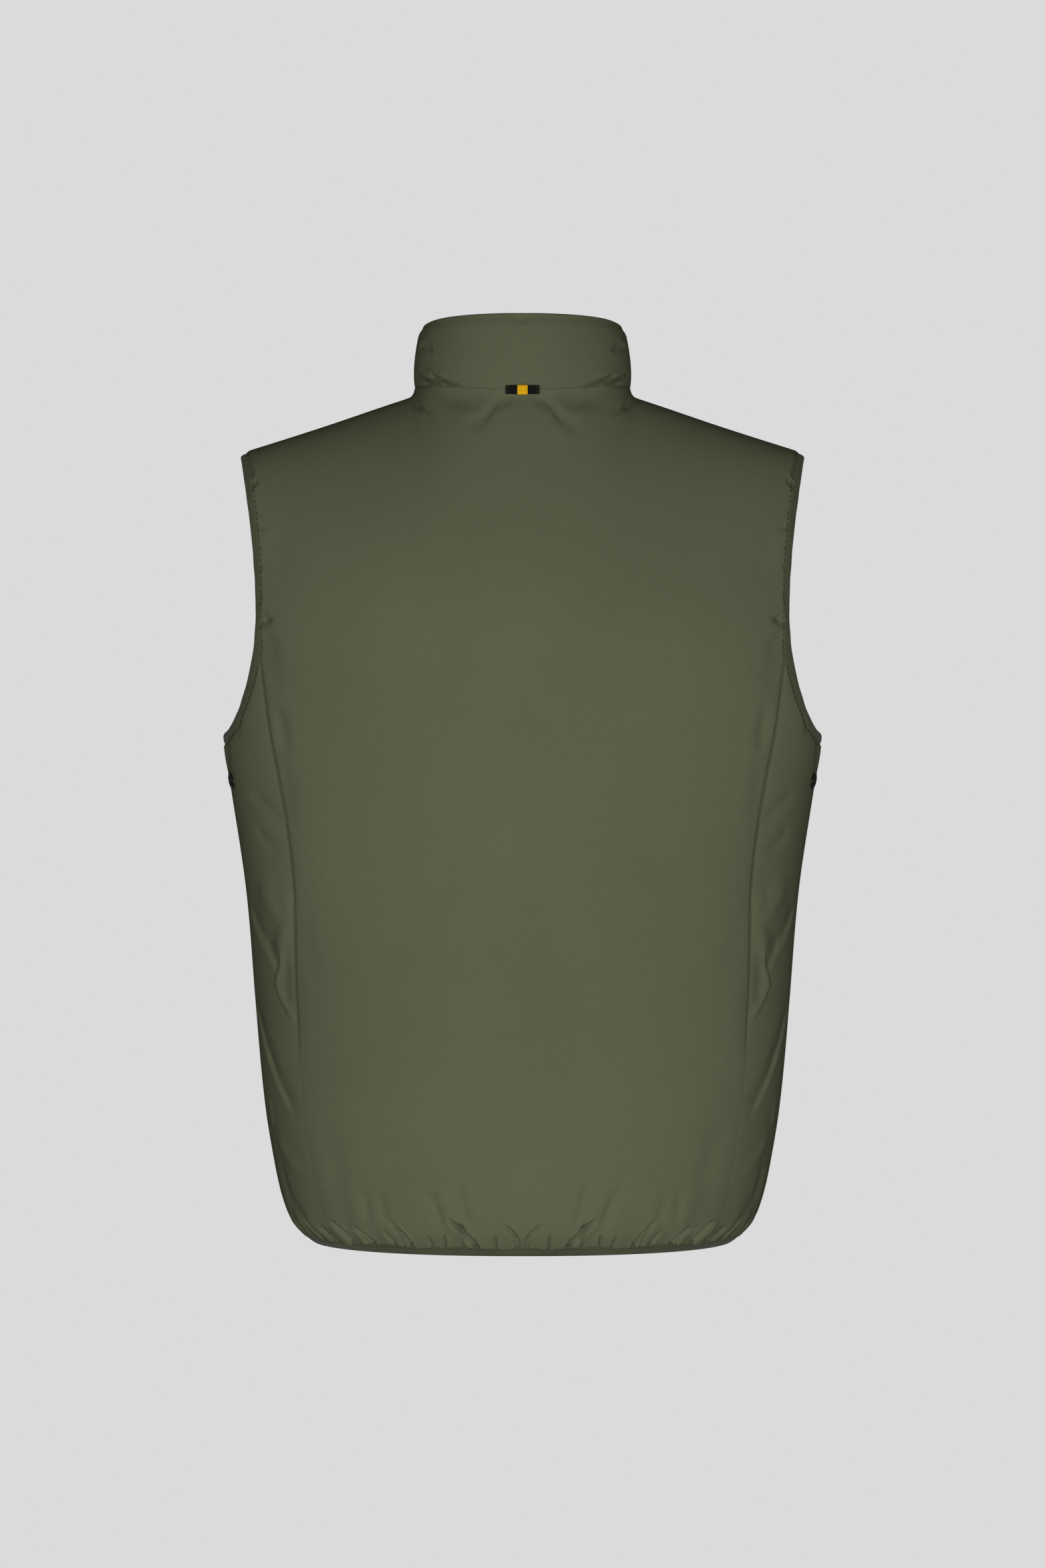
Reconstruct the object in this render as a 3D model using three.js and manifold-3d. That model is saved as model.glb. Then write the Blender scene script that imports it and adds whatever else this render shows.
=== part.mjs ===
// A padded stand-collar vest in the hollow shape it has when it is worn: smooth unquilted back, two
// side panels, two zipped fronts, bound armholes and an elastic-bound hem drawn in over a soft blouse.
// Millimetres. The origin is midway between the shoulders, level with the side neck points.
// +Z is up, the wearer faces -Y and the wearer's left is +X.
import * as THREE from "three";
import { mergeVertices } from "three/addons/utils/BufferGeometryUtils.js";
import Module from "manifold-3d";

const wasm = await Module();
wasm.setup();

// Cloth
const WALL = 6.5; // loft of the padded shell
const EDGE = 2.4; // thickness where the padding is caught in a seam
const THINNEST = 1.5; // at the bottom of a crease
const GAP = 0.3; // between neighbouring pieces at a seam

// Body levels
const HEM = -659.6; // lower edge of the hem binding
const HEM_BINDING = 8.8;
const JOIN = -206; // where the side seams run into the armholes
const ROUNDNESS = 2.2; // 2 is an ellipse, more is squarer

// The body's outer surface at each level: half its width, and how far it reaches back and forward.
const BODY = [
  { level: -659.6, halfWidth: 162, back: 104, front: 99 },
  { level: -654, halfWidth: 169.3, back: 107, front: 101.5 },
  { level: -650, halfWidth: 173.5, back: 109.5, front: 104 },
  { level: -642, halfWidth: 180, back: 113.5, front: 107.5 },
  { level: -633, halfWidth: 184.3, back: 116, front: 110 },
  { level: -617, halfWidth: 189.2, back: 119, front: 113 },
  { level: -596, halfWidth: 193.6, back: 121.5, front: 115 },
  { level: -554, halfWidth: 200.2, back: 123.5, front: 116 },
  { level: -471, halfWidth: 207.7, back: 122, front: 115 },
  { level: -388, halfWidth: 215, back: 118.5, front: 113.5 },
  { level: -305, halfWidth: 227.5, back: 116, front: 113 },
  { level: -264, halfWidth: 234.5, back: 115, front: 112.5 },
  { level: -206, halfWidth: 237, back: 114, front: 111 },
];

// How far out from the centre the side panels' seams run.
const SEAM = [
  { level: -659.6, out: 133 },
  { level: -650, out: 143 },
  { level: -633, out: 152 },
  { level: -594, out: 160 },
  { level: -548, out: 166.7 },
  { level: -504, out: 171.2 },
  { level: -446, out: 174.6 },
  { level: -392, out: 175 },
  { level: -363, out: 177.2 },
  { level: -338, out: 180.4 },
  { level: -308, out: 185.3 },
  { level: -256, out: 195 },
  { level: -206, out: 202 },
];

// Armhole
const UNDERARM = -271.5; // the side panel's lowest edge under the arm
const UNDERARM_CURVE = 3.1; // how squarely the armhole turns under the arm
const ARM_BINDING = { wide: 7.6, thick: 3.6 };

// Shoulder and neck
const SHOULDER_Y = -4; // the shoulder seam lies a little forward
const TIP = { out: 213.5, lift: 0.4, slope: 0.335 }; // outer end of the shoulder seam, and its fall
const NECK = { halfWidth: 85.5, back: 72, front: 80 };
const NECK_LEVEL = { back: -1.2, side: 7.3, front: -62 };
const NECK_RISE = { back: 2, side: 6.9, front: 3, reach: 7, broadReach: 34, run: 1.2 }; // turn up to the neck seam
const COLLAR_TOP = { halfWidth: 80, back: 65.5, front: 75 };
const COLLAR_LEVEL = { back: 56.8, side: 54.5, front: 0 };
const COLLAR_WALL = 7;
const COLLAR_HEIGHT = 57;
const COLUMN = 235; // length of a whole column from JOIN to the shoulder line

// Centre-front zip
const ZIP = { halfGap: 10.6, tapeThick: 1.2, chainHalf: 2.6, chainThick: 2.4, sunk: 2.6 };

const mix = THREE.MathUtils.lerp;
const smooth = (x) => THREE.MathUtils.smoothstep(x, 0, 1);
const steps = (n, from = 0, to = 1) => Array.from({ length: n + 1 }, (_, i) => mix(from, to, i / n));

// Reads one column of a table at any level, as a smooth line that never overshoots its rows.
function read(table, column, level) {
  const last = table.length - 2;
  const i = Math.min(last, Math.max(0, table.findIndex((r) => level < r.level) - 1));
  const at = level >= table[last + 1].level ? last : i;
  const slope = (k) => (table[k + 1][column] - table[k][column]) / (table[k + 1].level - table[k].level);
  const bend = (k) => {
    if (k < 1 || k > last) return slope(Math.min(last, Math.max(0, k)));
    const [a, b] = [slope(k - 1), slope(k)];
    return a * b <= 0 ? 0 : (2 * a * b) / (a + b);
  };
  const span = table[at + 1].level - table[at].level;
  const t = (level - table[at].level) / span;
  return hermite(t, table[at][column], table[at + 1][column], bend(at) * span, bend(at + 1) * span);
}

function hermite(t, a, b, fromA, intoB) {
  const t2 = t * t;
  const t3 = t2 * t;
  return (2 * t3 - 3 * t2 + 1) * a + (t3 - 2 * t2 + t) * fromA + (3 * t2 - 2 * t3) * b + (t3 - t2) * intoB;
}

const hermitePoint = (t, a, b, fromA, intoB) =>
  new THREE.Vector3(...["x", "y", "z"].map((k) => hermite(t, a[k], b[k], fromA[k], intoB[k])));

// The body as level rings. The turn is 0 at the wearer's left, positive to the back.
const halfWidth = (level) => read(BODY, "halfWidth", level);
const depth = (level, side) => read(BODY, side, level);
const turnAt = (level) => Math.acos(Math.pow(read(SEAM, "out", level) / halfWidth(level), ROUNDNESS / 2));

function ringPoint(level, turn) {
  const round = (v) => Math.sign(v) * Math.pow(Math.abs(v), 2 / ROUNDNESS);
  const reach = depth(level, turn > 0 ? "back" : "front");
  return new THREE.Vector3(halfWidth(level) * round(Math.cos(turn)), reach * round(Math.sin(turn)), level);
}

function ringPointAt(level, x, side) {
  const share = Math.min(1, Math.abs(x) / halfWidth(level));
  const y = depth(level, side) * Math.pow(1 - Math.pow(share, ROUNDNESS), 1 / ROUNDNESS);
  return new THREE.Vector3(x, side === "back" ? y : -y, level);
}

// The neck seam and the collar's upper edge, by angle from the centre back (0) to the centre front (PI).
function neckPoint(angle) {
  const c = Math.cos(angle);
  const s = Math.sin(angle);
  const { back, side, front } = NECK_LEVEL;
  const z = c > 0 ? mix(back, side, s * s) : mix(side, front, Math.pow(-c, 1.35));
  return new THREE.Vector3(NECK.halfWidth * s, SHOULDER_Y + (c > 0 ? NECK.back : NECK.front) * c, z);
}

function collarTopPoint(angle) {
  const c = Math.cos(angle);
  const s = Math.sin(angle);
  const { back, side, front } = COLLAR_LEVEL;
  const z = c > 0 ? mix(back, side, s * s * s * s) : mix(side, front, Math.pow(-c, 1.3));
  return new THREE.Vector3(COLLAR_TOP.halfWidth * s, SHOULDER_Y + (c > 0 ? COLLAR_TOP.back : COLLAR_TOP.front) * c, z);
}

// Above JOIN a back or front panel is a set of columns, each a smooth arc from the ring at JOIN to the
// shoulder line, which runs on inside the neck. Each row gives the arc's lean at its foot and its head.
const COLUMNS = {
  back: { footCentre: [0, 8, 200], footEdge: [-30, 32, 170], head: [0, -180, 6], headEdge: [10, -165, 12] },
  front: { footCentre: [0, -8, 150], footEdge: [-75, -10, 170], head: [0, 165, 6], headEdge: [32, 140, 12] },
};

function shoulderLevel(out) {
  const inside = Math.min(1, out / NECK.halfWidth);
  return TIP.lift - TIP.slope * Math.max(0, out - NECK.halfWidth) + (TIP.slope * NECK.halfWidth * (1 - inside ** 2)) / 2;
}

// One column, by how far out its head is: its arc, and the share of it that ends at the neck seam.
function columnAt(out, side) {
  const rows = COLUMNS[side];
  const inner = side === "back" ? 0 : ZIP.halfGap;
  const part = (out - inner) / (TIP.out - inner);
  const foot = ringPointAt(JOIN, mix(inner, read(SEAM, "out", JOIN), part), side);
  const head = new THREE.Vector3(out, SHOULDER_Y + ((side === "back" ? 1 : -1) * GAP) / 2, shoulderLevel(out));
  const between = (a, b, power) => new THREE.Vector3(...a).lerp(new THREE.Vector3(...b), part ** power);
  const fromFoot = between(rows.footCentre, rows.footEdge, 4);
  const intoHead = between(rows.head, rows.headEdge, 5);
  const arc = (rise) => hermitePoint(rise, foot, head, fromFoot, intoHead);
  return { arc, end: out < NECK.halfWidth ? neckCrossing(arc, NECK[side]) : 1 };
}

function neckCrossing(arc, reach) {
  let [below, above] = [0.3, 1];
  for (let i = 0; i < 22; i += 1) {
    const p = arc((below + above) / 2);
    const inside = Math.hypot(p.x / NECK.halfWidth, (p.y - SHOULDER_Y) / reach) < 1;
    if (inside) above = (below + above) / 2;
    else below = (below + above) / 2;
  }
  return above;
}

// The angle round the neck at which a column ends, from the panel's own centre.
function neckAngle(out, side) {
  const { arc, end } = columnAt(out, side);
  const p = arc(end);
  return Math.atan2(p.x / NECK.halfWidth, Math.abs(p.y - SHOULDER_Y) / NECK[side]);
}

// One side panel, back or front panel, as a surface of (share across, height). Height 0 is the hem
// seam, 1 is JOIN and 2 the neck and shoulder seam.
const PANEL_FOOT = HEM + HEM_BINDING + GAP;

function upperPoint(share, rise, side) {
  const out = mix(side === "back" ? 0 : ZIP.halfGap, TIP.out, Math.abs(share));
  const { arc, end } = columnAt(out, side);
  const p = arc(rise * end);
  const below = (1 - rise) * end * COLUMN;
  if (end < 1) {
    const angle = neckAngle(out, side);
    const turnUp = mix(NECK_RISE[side], NECK_RISE.side, Math.sin(angle) ** 2);
    const broad = neckPoint(side === "back" ? angle : Math.PI - angle).z - turnUp - arc(end).z;
    p.z += turnUp * Math.exp(-below / NECK_RISE.reach) + broad * Math.exp(-below / NECK_RISE.broadReach);
  } else {
    p.z += NECK_RISE.side * Math.exp(-(out - NECK.halfWidth) / NECK_RISE.run - below / NECK_RISE.reach);
  }
  p.x *= share < 0 ? -1 : 1;
  return p;
}

function backSkin(share, height) {
  if (height > 1) return upperPoint(share, height - 1, "back");
  const level = mix(PANEL_FOOT, JOIN, height);
  const p = ringPointAt(level, read(SEAM, "out", level) * share, "back");
  return p;
}

function frontSkin(share, height) {
  if (height > 1) return upperPoint(share, height - 1, "front");
  const level = mix(PANEL_FOOT, JOIN, height);
  return ringPointAt(level, mix(ZIP.halfGap, read(SEAM, "out", level), share), "front");
}

// The side panel's share runs from -1 at the front seam to 1 at the back seam.
function sideSkin(share, height) {
  const top = mix(UNDERARM, JOIN, Math.pow(Math.abs(share), UNDERARM_CURVE));
  const level = mix(PANEL_FOOT, top, height);
  return ringPoint(level, turnAt(level) * share);
}

function collarSkin(share, height) {
  const angle = (wide) => Math.abs(share) * (Math.PI - Math.asin(ZIP.halfGap / wide));
  const foot = neckPoint(angle(NECK.halfWidth));
  const head = collarTopPoint(angle(COLLAR_TOP.halfWidth));
  if (share < 0) [foot, head].forEach((p) => (p.x *= -1));
  return foot.lerp(head, height);
}

// Where padding is caught at an edge the shell dips, and rises to its full loft away from it.
const SEAM_DIP = { side: 2.2, shoulder: 1, neck: 1.9, armhole: 2.2, hem: 2.2, zip: 1.6 };
const dip = (depthOf, distance) => depthOf * Math.exp(-distance / 7);

// Soft folds on the body: the middle of each, its length, lean from upright, width and height (a
// trough is below 0). Places across are from the centre, on both sides alike.
const BACK_FOLDS = [
  { across: 22, level: -22, length: 62, lean: -42, width: 9, height: -1.3 },
  { across: 188, level: -252, length: 60, lean: 10, width: 16, height: -2 },
  { across: 176, level: -286, length: 40, lean: 14, width: 14, height: -1.8 },
  { across: 196, level: -176, length: 36, lean: -64, width: 9, height: -1.6 },
  { across: 194, level: -136, length: 34, lean: -58, width: 9, height: -1.2 },
  { across: 204, level: -82, length: 26, lean: -38, width: 6, height: -1.2 },
  { across: 30, level: -590, length: 70, lean: -8, width: 16, height: -1.3 },
  { across: 74, level: -604, length: 64, lean: 14, width: 16, height: 1.3 },
  { across: 96, level: -612, length: 56, lean: 18, width: 12, height: -1.8 },
  { across: 126, level: -606, length: 60, lean: 24, width: 14, height: -1.6 },
  { across: 148, level: -560, length: 90, lean: 8, width: 20, height: -1.4 },
];

const FRONT_FOLDS = [
  { across: 150, level: -150, length: 90, lean: -34, width: 20, height: -2 },
  { across: 176, level: -232, length: 70, lean: 16, width: 18, height: -2 },
  { across: 118, level: -470, length: 130, lean: 10, width: 26, height: -1.5 },
  { across: 60, level: -560, length: 110, lean: -6, width: 22, height: 1.5 },
  { across: 92, level: -604, length: 64, lean: 16, width: 14, height: -1.8 },
  { across: 136, level: -596, length: 70, lean: 22, width: 15, height: -1.6 },
];

// Folds on a side panel: place across is the distance from its middle, positive to the back.
const SIDE_FOLDS = [
  { across: 42, level: -352, length: 120, lean: 10, width: 20, height: -2 },
  { across: 34, level: -420, length: 84, lean: -48, width: 13, height: 2.4 },
  { across: 52, level: -408, length: 52, lean: -30, width: 14, height: -2.6 },
  { across: 14, level: -392, length: 90, lean: -30, width: 18, height: -2.4 },
  { across: 44, level: -526, length: 120, lean: -34, width: 13, height: 2.4 },
  { across: 22, level: -520, length: 110, lean: -30, width: 18, height: -2.2 },
  { across: 12, level: -590, length: 60, lean: -24, width: 14, height: 1.8 },
  { across: -40, level: -360, length: 110, lean: 14, width: 20, height: -2 },
  { across: -26, level: -446, length: 96, lean: 40, width: 15, height: 2 },
  { across: -44, level: -540, length: 110, lean: 30, width: 16, height: -2.2 },
];

function foldHeight(folds, across, level) {
  return folds.reduce((sum, f) => {
    const turn = THREE.MathUtils.degToRad(f.lean);
    const dx = across - f.across;
    const dz = level - f.level;
    const along = dx * Math.sin(turn) + dz * Math.cos(turn);
    const aside = dx * Math.cos(turn) - dz * Math.sin(turn);
    const far = Math.hypot((2 * along) / f.length, (2 * aside) / f.width);
    return sum + f.height * Math.exp(-far * far);
  }, 0);
}

// The hem elastic draws the cloth into uneven little pleats that fade out upwards.
const GATHER = { height: 2.4, atSeam: 0.45, open: 7, fade: 22 };

function gatherLift(share, waves, aboveHem, seed) {
  const uneven = 0.9 * Math.sin(5.1 * share + seed) + 0.55 * Math.sin(11.7 * share + 2 * seed);
  const size = 0.72 + 0.28 * Math.sin(7.3 * share + 3 * seed);
  const opened = mix(1, GATHER.atSeam, Math.exp(-aboveHem / GATHER.open));
  const wave = Math.cos(Math.PI * waves * share + uneven);
  return GATHER.height * size * opened * wave * Math.exp(-aboveHem / GATHER.fade);
}

// Triangles between two lines of points that may differ in number; each point knows its own share.
function stitch(lower, upper, out) {
  let i = 0;
  let k = 0;
  while (i < lower.length - 1 || k < upper.length - 1) {
    const nextLow = i < lower.length - 1 ? lower[i + 1].share : Infinity;
    const nextUp = k < upper.length - 1 ? upper[k + 1].share : Infinity;
    if (nextLow <= nextUp) {
      out.push(lower[i].at, lower[i + 1].at, upper[k].at);
      i += 1;
    } else {
      out.push(lower[i].at, upper[k + 1].at, upper[k].at);
      k += 1;
    }
  }
}

// A closed wall between an outer and an inner surface, each a list of rows from the foot up.
function wall(outer, inner) {
  const points = [];
  const side = (rows, last) => rows.map((row) => ({ at: row[last ? row.length - 1 : 0].at, share: row.height }));
  outer.slice(1).forEach((row, i) => stitch(outer[i], row, points));
  inner.slice(1).forEach((row, i) => {
    const strip = [];
    stitch(inner[i], row, strip);
    points.push(...strip.reverse());
  });
  stitch(inner[0], outer[0], points);
  stitch(outer.at(-1), inner.at(-1), points);
  stitch(side(outer, false), side(inner, false), points);
  const rightEnd = [];
  stitch(side(outer, true), side(inner, true), rightEnd);
  points.push(...rightEnd.reverse());
  return solidFrom(points);
}

// A geometry from a list of triangle corners, turned to face outwards.
function solidFrom(points) {
  let volume = 0;
  for (let i = 0; i < points.length; i += 3) {
    volume += points[i].dot(points[i + 1].clone().cross(points[i + 2]));
  }
  const corners = volume < 0 ? points.toReversed() : points;
  return new THREE.BufferGeometry().setFromPoints(corners);
}

// The ring surface's own normal, the same for the panels on either side of a seam.
function ringNormal(p) {
  const part = p.y > 0 ? "back" : "front";
  const power = (v) => Math.sign(v) * Math.pow(Math.abs(v), ROUNDNESS - 1);
  const [a, b] = [halfWidth(p.z), depth(p.z, part)];
  const [da, db] = [halfWidth(p.z + 0.5) - halfWidth(p.z - 0.5), depth(p.z + 0.5, part) - depth(p.z - 0.5, part)];
  const [u, v] = [p.x / a, p.y / b];
  const fall = (Math.abs(power(u) * u) * da) / a + (Math.abs(power(v) * v) * db) / b;
  return new THREE.Vector3(power(u) / a, power(v) / b, -fall).normalize();
}

// Where the collar meets the panels both walls end along this direction.
function neckNormal(p) {
  const reach = p.y > SHOULDER_Y ? NECK.back : NECK.front;
  const out = new THREE.Vector3(p.x / NECK.halfWidth ** 2, (p.y - SHOULDER_Y) / reach ** 2, 0).normalize();
  return out.setZ(0.2).normalize();
}

// The outward normal of a surface, from its slopes across and up.
function normalOf(skin, share, height, ends) {
  if (skin !== collarSkin && height <= 1) return ringNormal(skin(share, height));
  const e = 2e-3;
  const [s0, s1] = [Math.max(ends.from, share - e), Math.min(ends.to, share + e)];
  const [h0, h1] = [Math.max(0, height - e), Math.min(ends.top, height + e)];
  const across = skin(s1, height).sub(skin(s0, height));
  const up = skin(share, h1).sub(skin(share, h0));
  const normal = across.cross(up).normalize();
  const p = skin(share, height);
  if (normal.dot(new THREE.Vector3(p.x, p.y - SHOULDER_Y, p.z > JOIN ? 60 : 0)) < 0) normal.negate();
  if (skin === collarSkin) return normal.lerp(neckNormal(p), Math.exp((-height * COLLAR_HEIGHT) / 8)).normalize();
  const caught = Math.exp((-(2 - height) * COLUMN) / 8);
  if (Math.abs(p.x) < NECK.halfWidth + 0.02) return normal.lerp(neckNormal(p), caught).normalize();
  return normal.setY(normal.y * (1 - caught)).normalize();
}

// A padded panel: rows of outer points lifted by lift(), and plain inner points one wall below.
function paddedPanel({ skin, ends, outerRows, innerRows, lift, caught, loft }) {
  const line = (shares, height, place) => {
    const row = shares.map((share) => ({ share, at: place(share, height) }));
    row.height = height;
    return row;
  };
  const innerDepth = (share, height) => mix(loft - SEAM_DIP.side, EDGE, caught(share, height)) + SEAM_DIP.side;
  const at = (share, height, out) =>
    skin(share, height).addScaledVector(normalOf(skin, share, height, ends), out);
  const outerAt = (share, height) =>
    at(share, height, Math.max(lift(share, height), THINNEST - innerDepth(share, height)));
  const innerAt = (share, height) => at(share, height, -innerDepth(share, height));
  return wall(
    outerRows.map(({ height, shares }) => line(shares, height, outerAt)),
    innerRows.map(({ height, shares }) => line(shares, height, innerAt)),
  );
}

// Heights of rows on the ring part, measured up from the hem seam, and the share of rise above JOIN.
const HEM_ROWS = [0, 5, 11, 19, 30];
const BODY_ROWS = [44, 62, 84, 108, 134, 161, 189, 217, 245, 273, 301, 328, 354, 379, 402, 423, 438, JOIN - PANEL_FOOT];
const UPPER_ROWS = [1.1, 1.2, 1.3, 1.4, 1.5, 1.59, 1.67, 1.75, 1.82, 1.88, 1.93, 1.97];
const ringHeight = (above) => above / (JOIN - PANEL_FOOT);
const INNER_ROWS = [0, 22, 62, 134, 217, 301, 379, JOIN - PANEL_FOOT].map(ringHeight);

// Where columns stand, by how far out their heads are; those at the neck are even round its seam.
const NECK_STEPS = 10;
const aroundNeck = (count) => steps(count, 0, Math.PI / 2).map((a) => NECK.halfWidth * Math.sin(a));
const SHOULDER_OUTS = [91, 97, 110, 125, 140, 155, 170, 184, 196, 205, 210.5, TIP.out];
const HALF_OUTS = [0, 14, 28, 42, 56, 68, 78, NECK.halfWidth, ...SHOULDER_OUTS];
const HEAD_OUTS = [...aroundNeck(NECK_STEPS), 87.7, ...SHOULDER_OUTS];
const INNER_OUTS = [0, 28, 56, 78, NECK.halfWidth, 110, 140, 170, 196, TIP.out];
const backShares = (outs) => bothSides(outs.map((out) => out / TIP.out));
const frontShares = (outs) => {
  const clear = outs.filter((out) => out > ZIP.halfGap + 1);
  return [ZIP.halfGap, ...clear].map((out) => (out - ZIP.halfGap) / (TIP.out - ZIP.halfGap));
};
const bothSides = (half) => [...half.slice(1).reverse().map((s) => -s), ...half];

// Rows of points over a panel, trimmed by half a seam gap at each side: heights, then shares across.
function rowsOf(heights, shares, from, trim) {
  const fit = shares.map((s) => mix(from + trim, 1 - trim, (s - from) / (1 - from)));
  return heights.map((height) => ({ height, shares: fit }));
}

const aboveHemOf = (height) => height * (JOIN - PANEL_FOOT);

// Distance dips shared by the back and the fronts.
function bodyDip(part, height, width, inner) {
  const fromEdge = (1 - part) * width;
  const upper = Math.max(0, 2 - height) * COLUMN;
  const atNeck = smooth((NECK.halfWidth + 6 - mix(inner, TIP.out, part)) / 12);
  const edgeDip = height > 1 ? SEAM_DIP.armhole : SEAM_DIP.side;
  const headDip = mix(SEAM_DIP.shoulder, SEAM_DIP.neck, atNeck);
  return Math.max(dip(edgeDip, fromEdge), dip(headDip, upper), dip(SEAM_DIP.hem, aboveHemOf(height)));
}

const caughtBody = (part, height, width) =>
  Math.max(
    Math.exp((-(1 - part) * width) / 9),
    Math.exp((-(2 - height) * COLUMN) / 9),
    Math.exp(-aboveHemOf(height) / 9),
  );

function backPanel() {
  const width = read(SEAM, "out", JOIN);
  const lift = (share, height) => {
    const part = Math.abs(share);
    const p = backSkin(share, height);
    const fold = foldHeight(BACK_FOLDS, Math.abs(p.x), p.z);
    const gather = height < 0.35 ? gatherLift(share, 15, aboveHemOf(height), 0.6) : 0;
    return fold + gather - bodyDip(part, height, width, 0);
  };
  const trim = GAP / 2 / width;
  return paddedPanel({
    skin: backSkin,
    ends: { from: -1, to: 1, top: 2 },
    outerRows: [
      ...rowsOf(HEM_ROWS.map(ringHeight), steps(112, -1, 1), -1, trim),
      ...rowsOf([...BODY_ROWS.map(ringHeight), ...UPPER_ROWS], backShares(HALF_OUTS), -1, trim),
      ...rowsOf([2], backShares(HEAD_OUTS), -1, trim),
    ],
    innerRows: [
      ...rowsOf([...INNER_ROWS, ...UPPER_ROWS], backShares(INNER_OUTS), -1, trim),
      ...rowsOf([2], backShares(HEAD_OUTS), -1, trim),
    ],
    lift,
    caught: (share, height) => caughtBody(Math.abs(share), height, width),
    loft: WALL,
  });
}

function frontPanel() {
  const width = read(SEAM, "out", JOIN) - ZIP.halfGap;
  const lift = (share, height) => {
    const p = frontSkin(share, height);
    const fold = foldHeight(FRONT_FOLDS, p.x, p.z);
    const gather = height < 0.35 ? gatherLift(share, 14, aboveHemOf(height), 1.9) : 0;
    return fold + gather - Math.max(bodyDip(share, height, width, ZIP.halfGap), dip(SEAM_DIP.zip, share * width));
  };
  const trim = GAP / 2 / width;
  return paddedPanel({
    skin: frontSkin,
    ends: { from: 0, to: 1, top: 2 },
    outerRows: [
      ...rowsOf(HEM_ROWS.map(ringHeight), steps(56), 0, trim),
      ...rowsOf([...BODY_ROWS.map(ringHeight), ...UPPER_ROWS], frontShares(HALF_OUTS), 0, trim),
      ...rowsOf([2], frontShares(HEAD_OUTS), 0, trim),
    ],
    innerRows: [
      ...rowsOf([...INNER_ROWS, ...UPPER_ROWS], frontShares(INNER_OUTS), 0, trim),
      ...rowsOf([2], frontShares(HEAD_OUTS), 0, trim),
    ],
    lift,
    caught: (share, height) => Math.max(caughtBody(share, height, width), Math.exp((-share * width) / 9)),
    loft: WALL,
  });
}

const SIDE_REACH = 72; // half the side panel's width round the body
const SIDE_SHARES = bothSides([0, 0.17, 0.33, 0.48, 0.62, 0.75, 0.86, 0.94, 1]);

function sidePanel() {
  const edgeDip = (share, height) =>
    Math.max(
      dip(SEAM_DIP.side, (1 - Math.abs(share)) * SIDE_REACH),
      dip(SEAM_DIP.armhole, (1 - height) * (JOIN - PANEL_FOOT)),
      dip(SEAM_DIP.hem, aboveHemOf(height)),
    );
  const lift = (share, height) => {
    const p = sideSkin(share, height);
    const fold = foldHeight(SIDE_FOLDS, share * SIDE_REACH, p.z);
    const gather = height < 0.35 ? gatherLift(share, 7, aboveHemOf(height), 3.1) : 0;
    return fold + gather - edgeDip(share, height);
  };
  const trim = GAP / 2 / SIDE_REACH;
  return paddedPanel({
    skin: sideSkin,
    ends: { from: -1, to: 1, top: 1 },
    outerRows: [
      ...rowsOf(HEM_ROWS.map(ringHeight), steps(32, -1, 1), -1, trim),
      ...rowsOf(BODY_ROWS.map(ringHeight), SIDE_SHARES, -1, trim),
    ],
    innerRows: [
      ...rowsOf(INNER_ROWS.slice(0, -1), bothSides([0, 0.33, 0.62, 0.86, 1]), -1, trim),
      ...rowsOf([1], SIDE_SHARES, -1, trim),
    ],
    lift,
    caught: (share, height) =>
      Math.max(
        Math.exp((-(1 - Math.abs(share)) * SIDE_REACH) / 9),
        Math.exp((-(1 - height) * (JOIN - PANEL_FOOT)) / 9),
        Math.exp(-aboveHemOf(height) / 9),
      ),
    loft: WALL,
  });
}

// Folds where the collar bends round the neck: place across is the angle from the centre back.
const COLLAR_FOLDS = [
  { across: 63, level: 10, length: 34, lean: 58, width: 6, height: -1.5 },
  { across: 72, level: 17, length: 30, lean: 62, width: 6, height: 1.1 },
  { across: 66, level: 37, length: 18, lean: 74, width: 9, height: -1.8 },
  { across: 112, level: 4, length: 40, lean: 48, width: 9, height: -1.5 },
  { across: 140, level: -30, length: 44, lean: 30, width: 9, height: -1.4 },
];

function collarPanel() {
  const lift = (share, height) => {
    const p = collarSkin(share, height);
    const degrees = Math.abs(share) * 172;
    const fold = foldHeight(COLLAR_FOLDS, degrees * 1.35, p.z + 0) * (degrees > 30 ? 1 : 0);
    const foot = dip(SEAM_DIP.neck, height * COLLAR_HEIGHT);
    const ends = dip(SEAM_DIP.zip, (1 - Math.abs(share)) * 232);
    const head = 1.8 * Math.pow(smooth((height - 0.8) / 0.2), 2);
    return 1.2 * Math.sin(Math.PI * Math.min(1, height * 1.1)) + fold - Math.max(foot, ends) - head;
  };
  const trim = GAP / 2 / 232;
  const fromBack = aroundNeck(NECK_STEPS).map((out) => neckAngle(out, "back"));
  const clear = aroundNeck(NECK_STEPS).filter((out) => out > ZIP.halfGap + 1);
  const fromFront = [ZIP.halfGap, ...clear].map((out) => Math.PI - neckAngle(out, "front"));
  const half = [...fromBack, ...fromFront.reverse().slice(1)];
  const shares = bothSides(half.map((angle) => angle / half.at(-1)));
  const foot = (1.8 * GAP) / COLLAR_HEIGHT;
  const rows = [foot, 0.07, 0.16, 0.28, 0.42, 0.57, 0.71, 0.82, 0.9, 0.96, 1];
  const geometry = paddedPanel({
    skin: collarSkin,
    ends: { from: -1, to: 1, top: 1 },
    outerRows: rowsOf(rows, shares, -1, trim),
    innerRows: rowsOf([foot, 0.16, 0.42, 0.71, 0.9, 1], shares, -1, trim),
    lift,
    caught: (share, height) => {
      const crown = 0.62 * Math.pow(smooth((height - 0.78) / 0.22), 2);
      return Math.max(crown, Math.exp((-height * COLLAR_HEIGHT) / 9), Math.exp((-(1 - Math.abs(share)) * 232) / 9));
    },
    loft: COLLAR_WALL,
  });
  return geometry;
}

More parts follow.
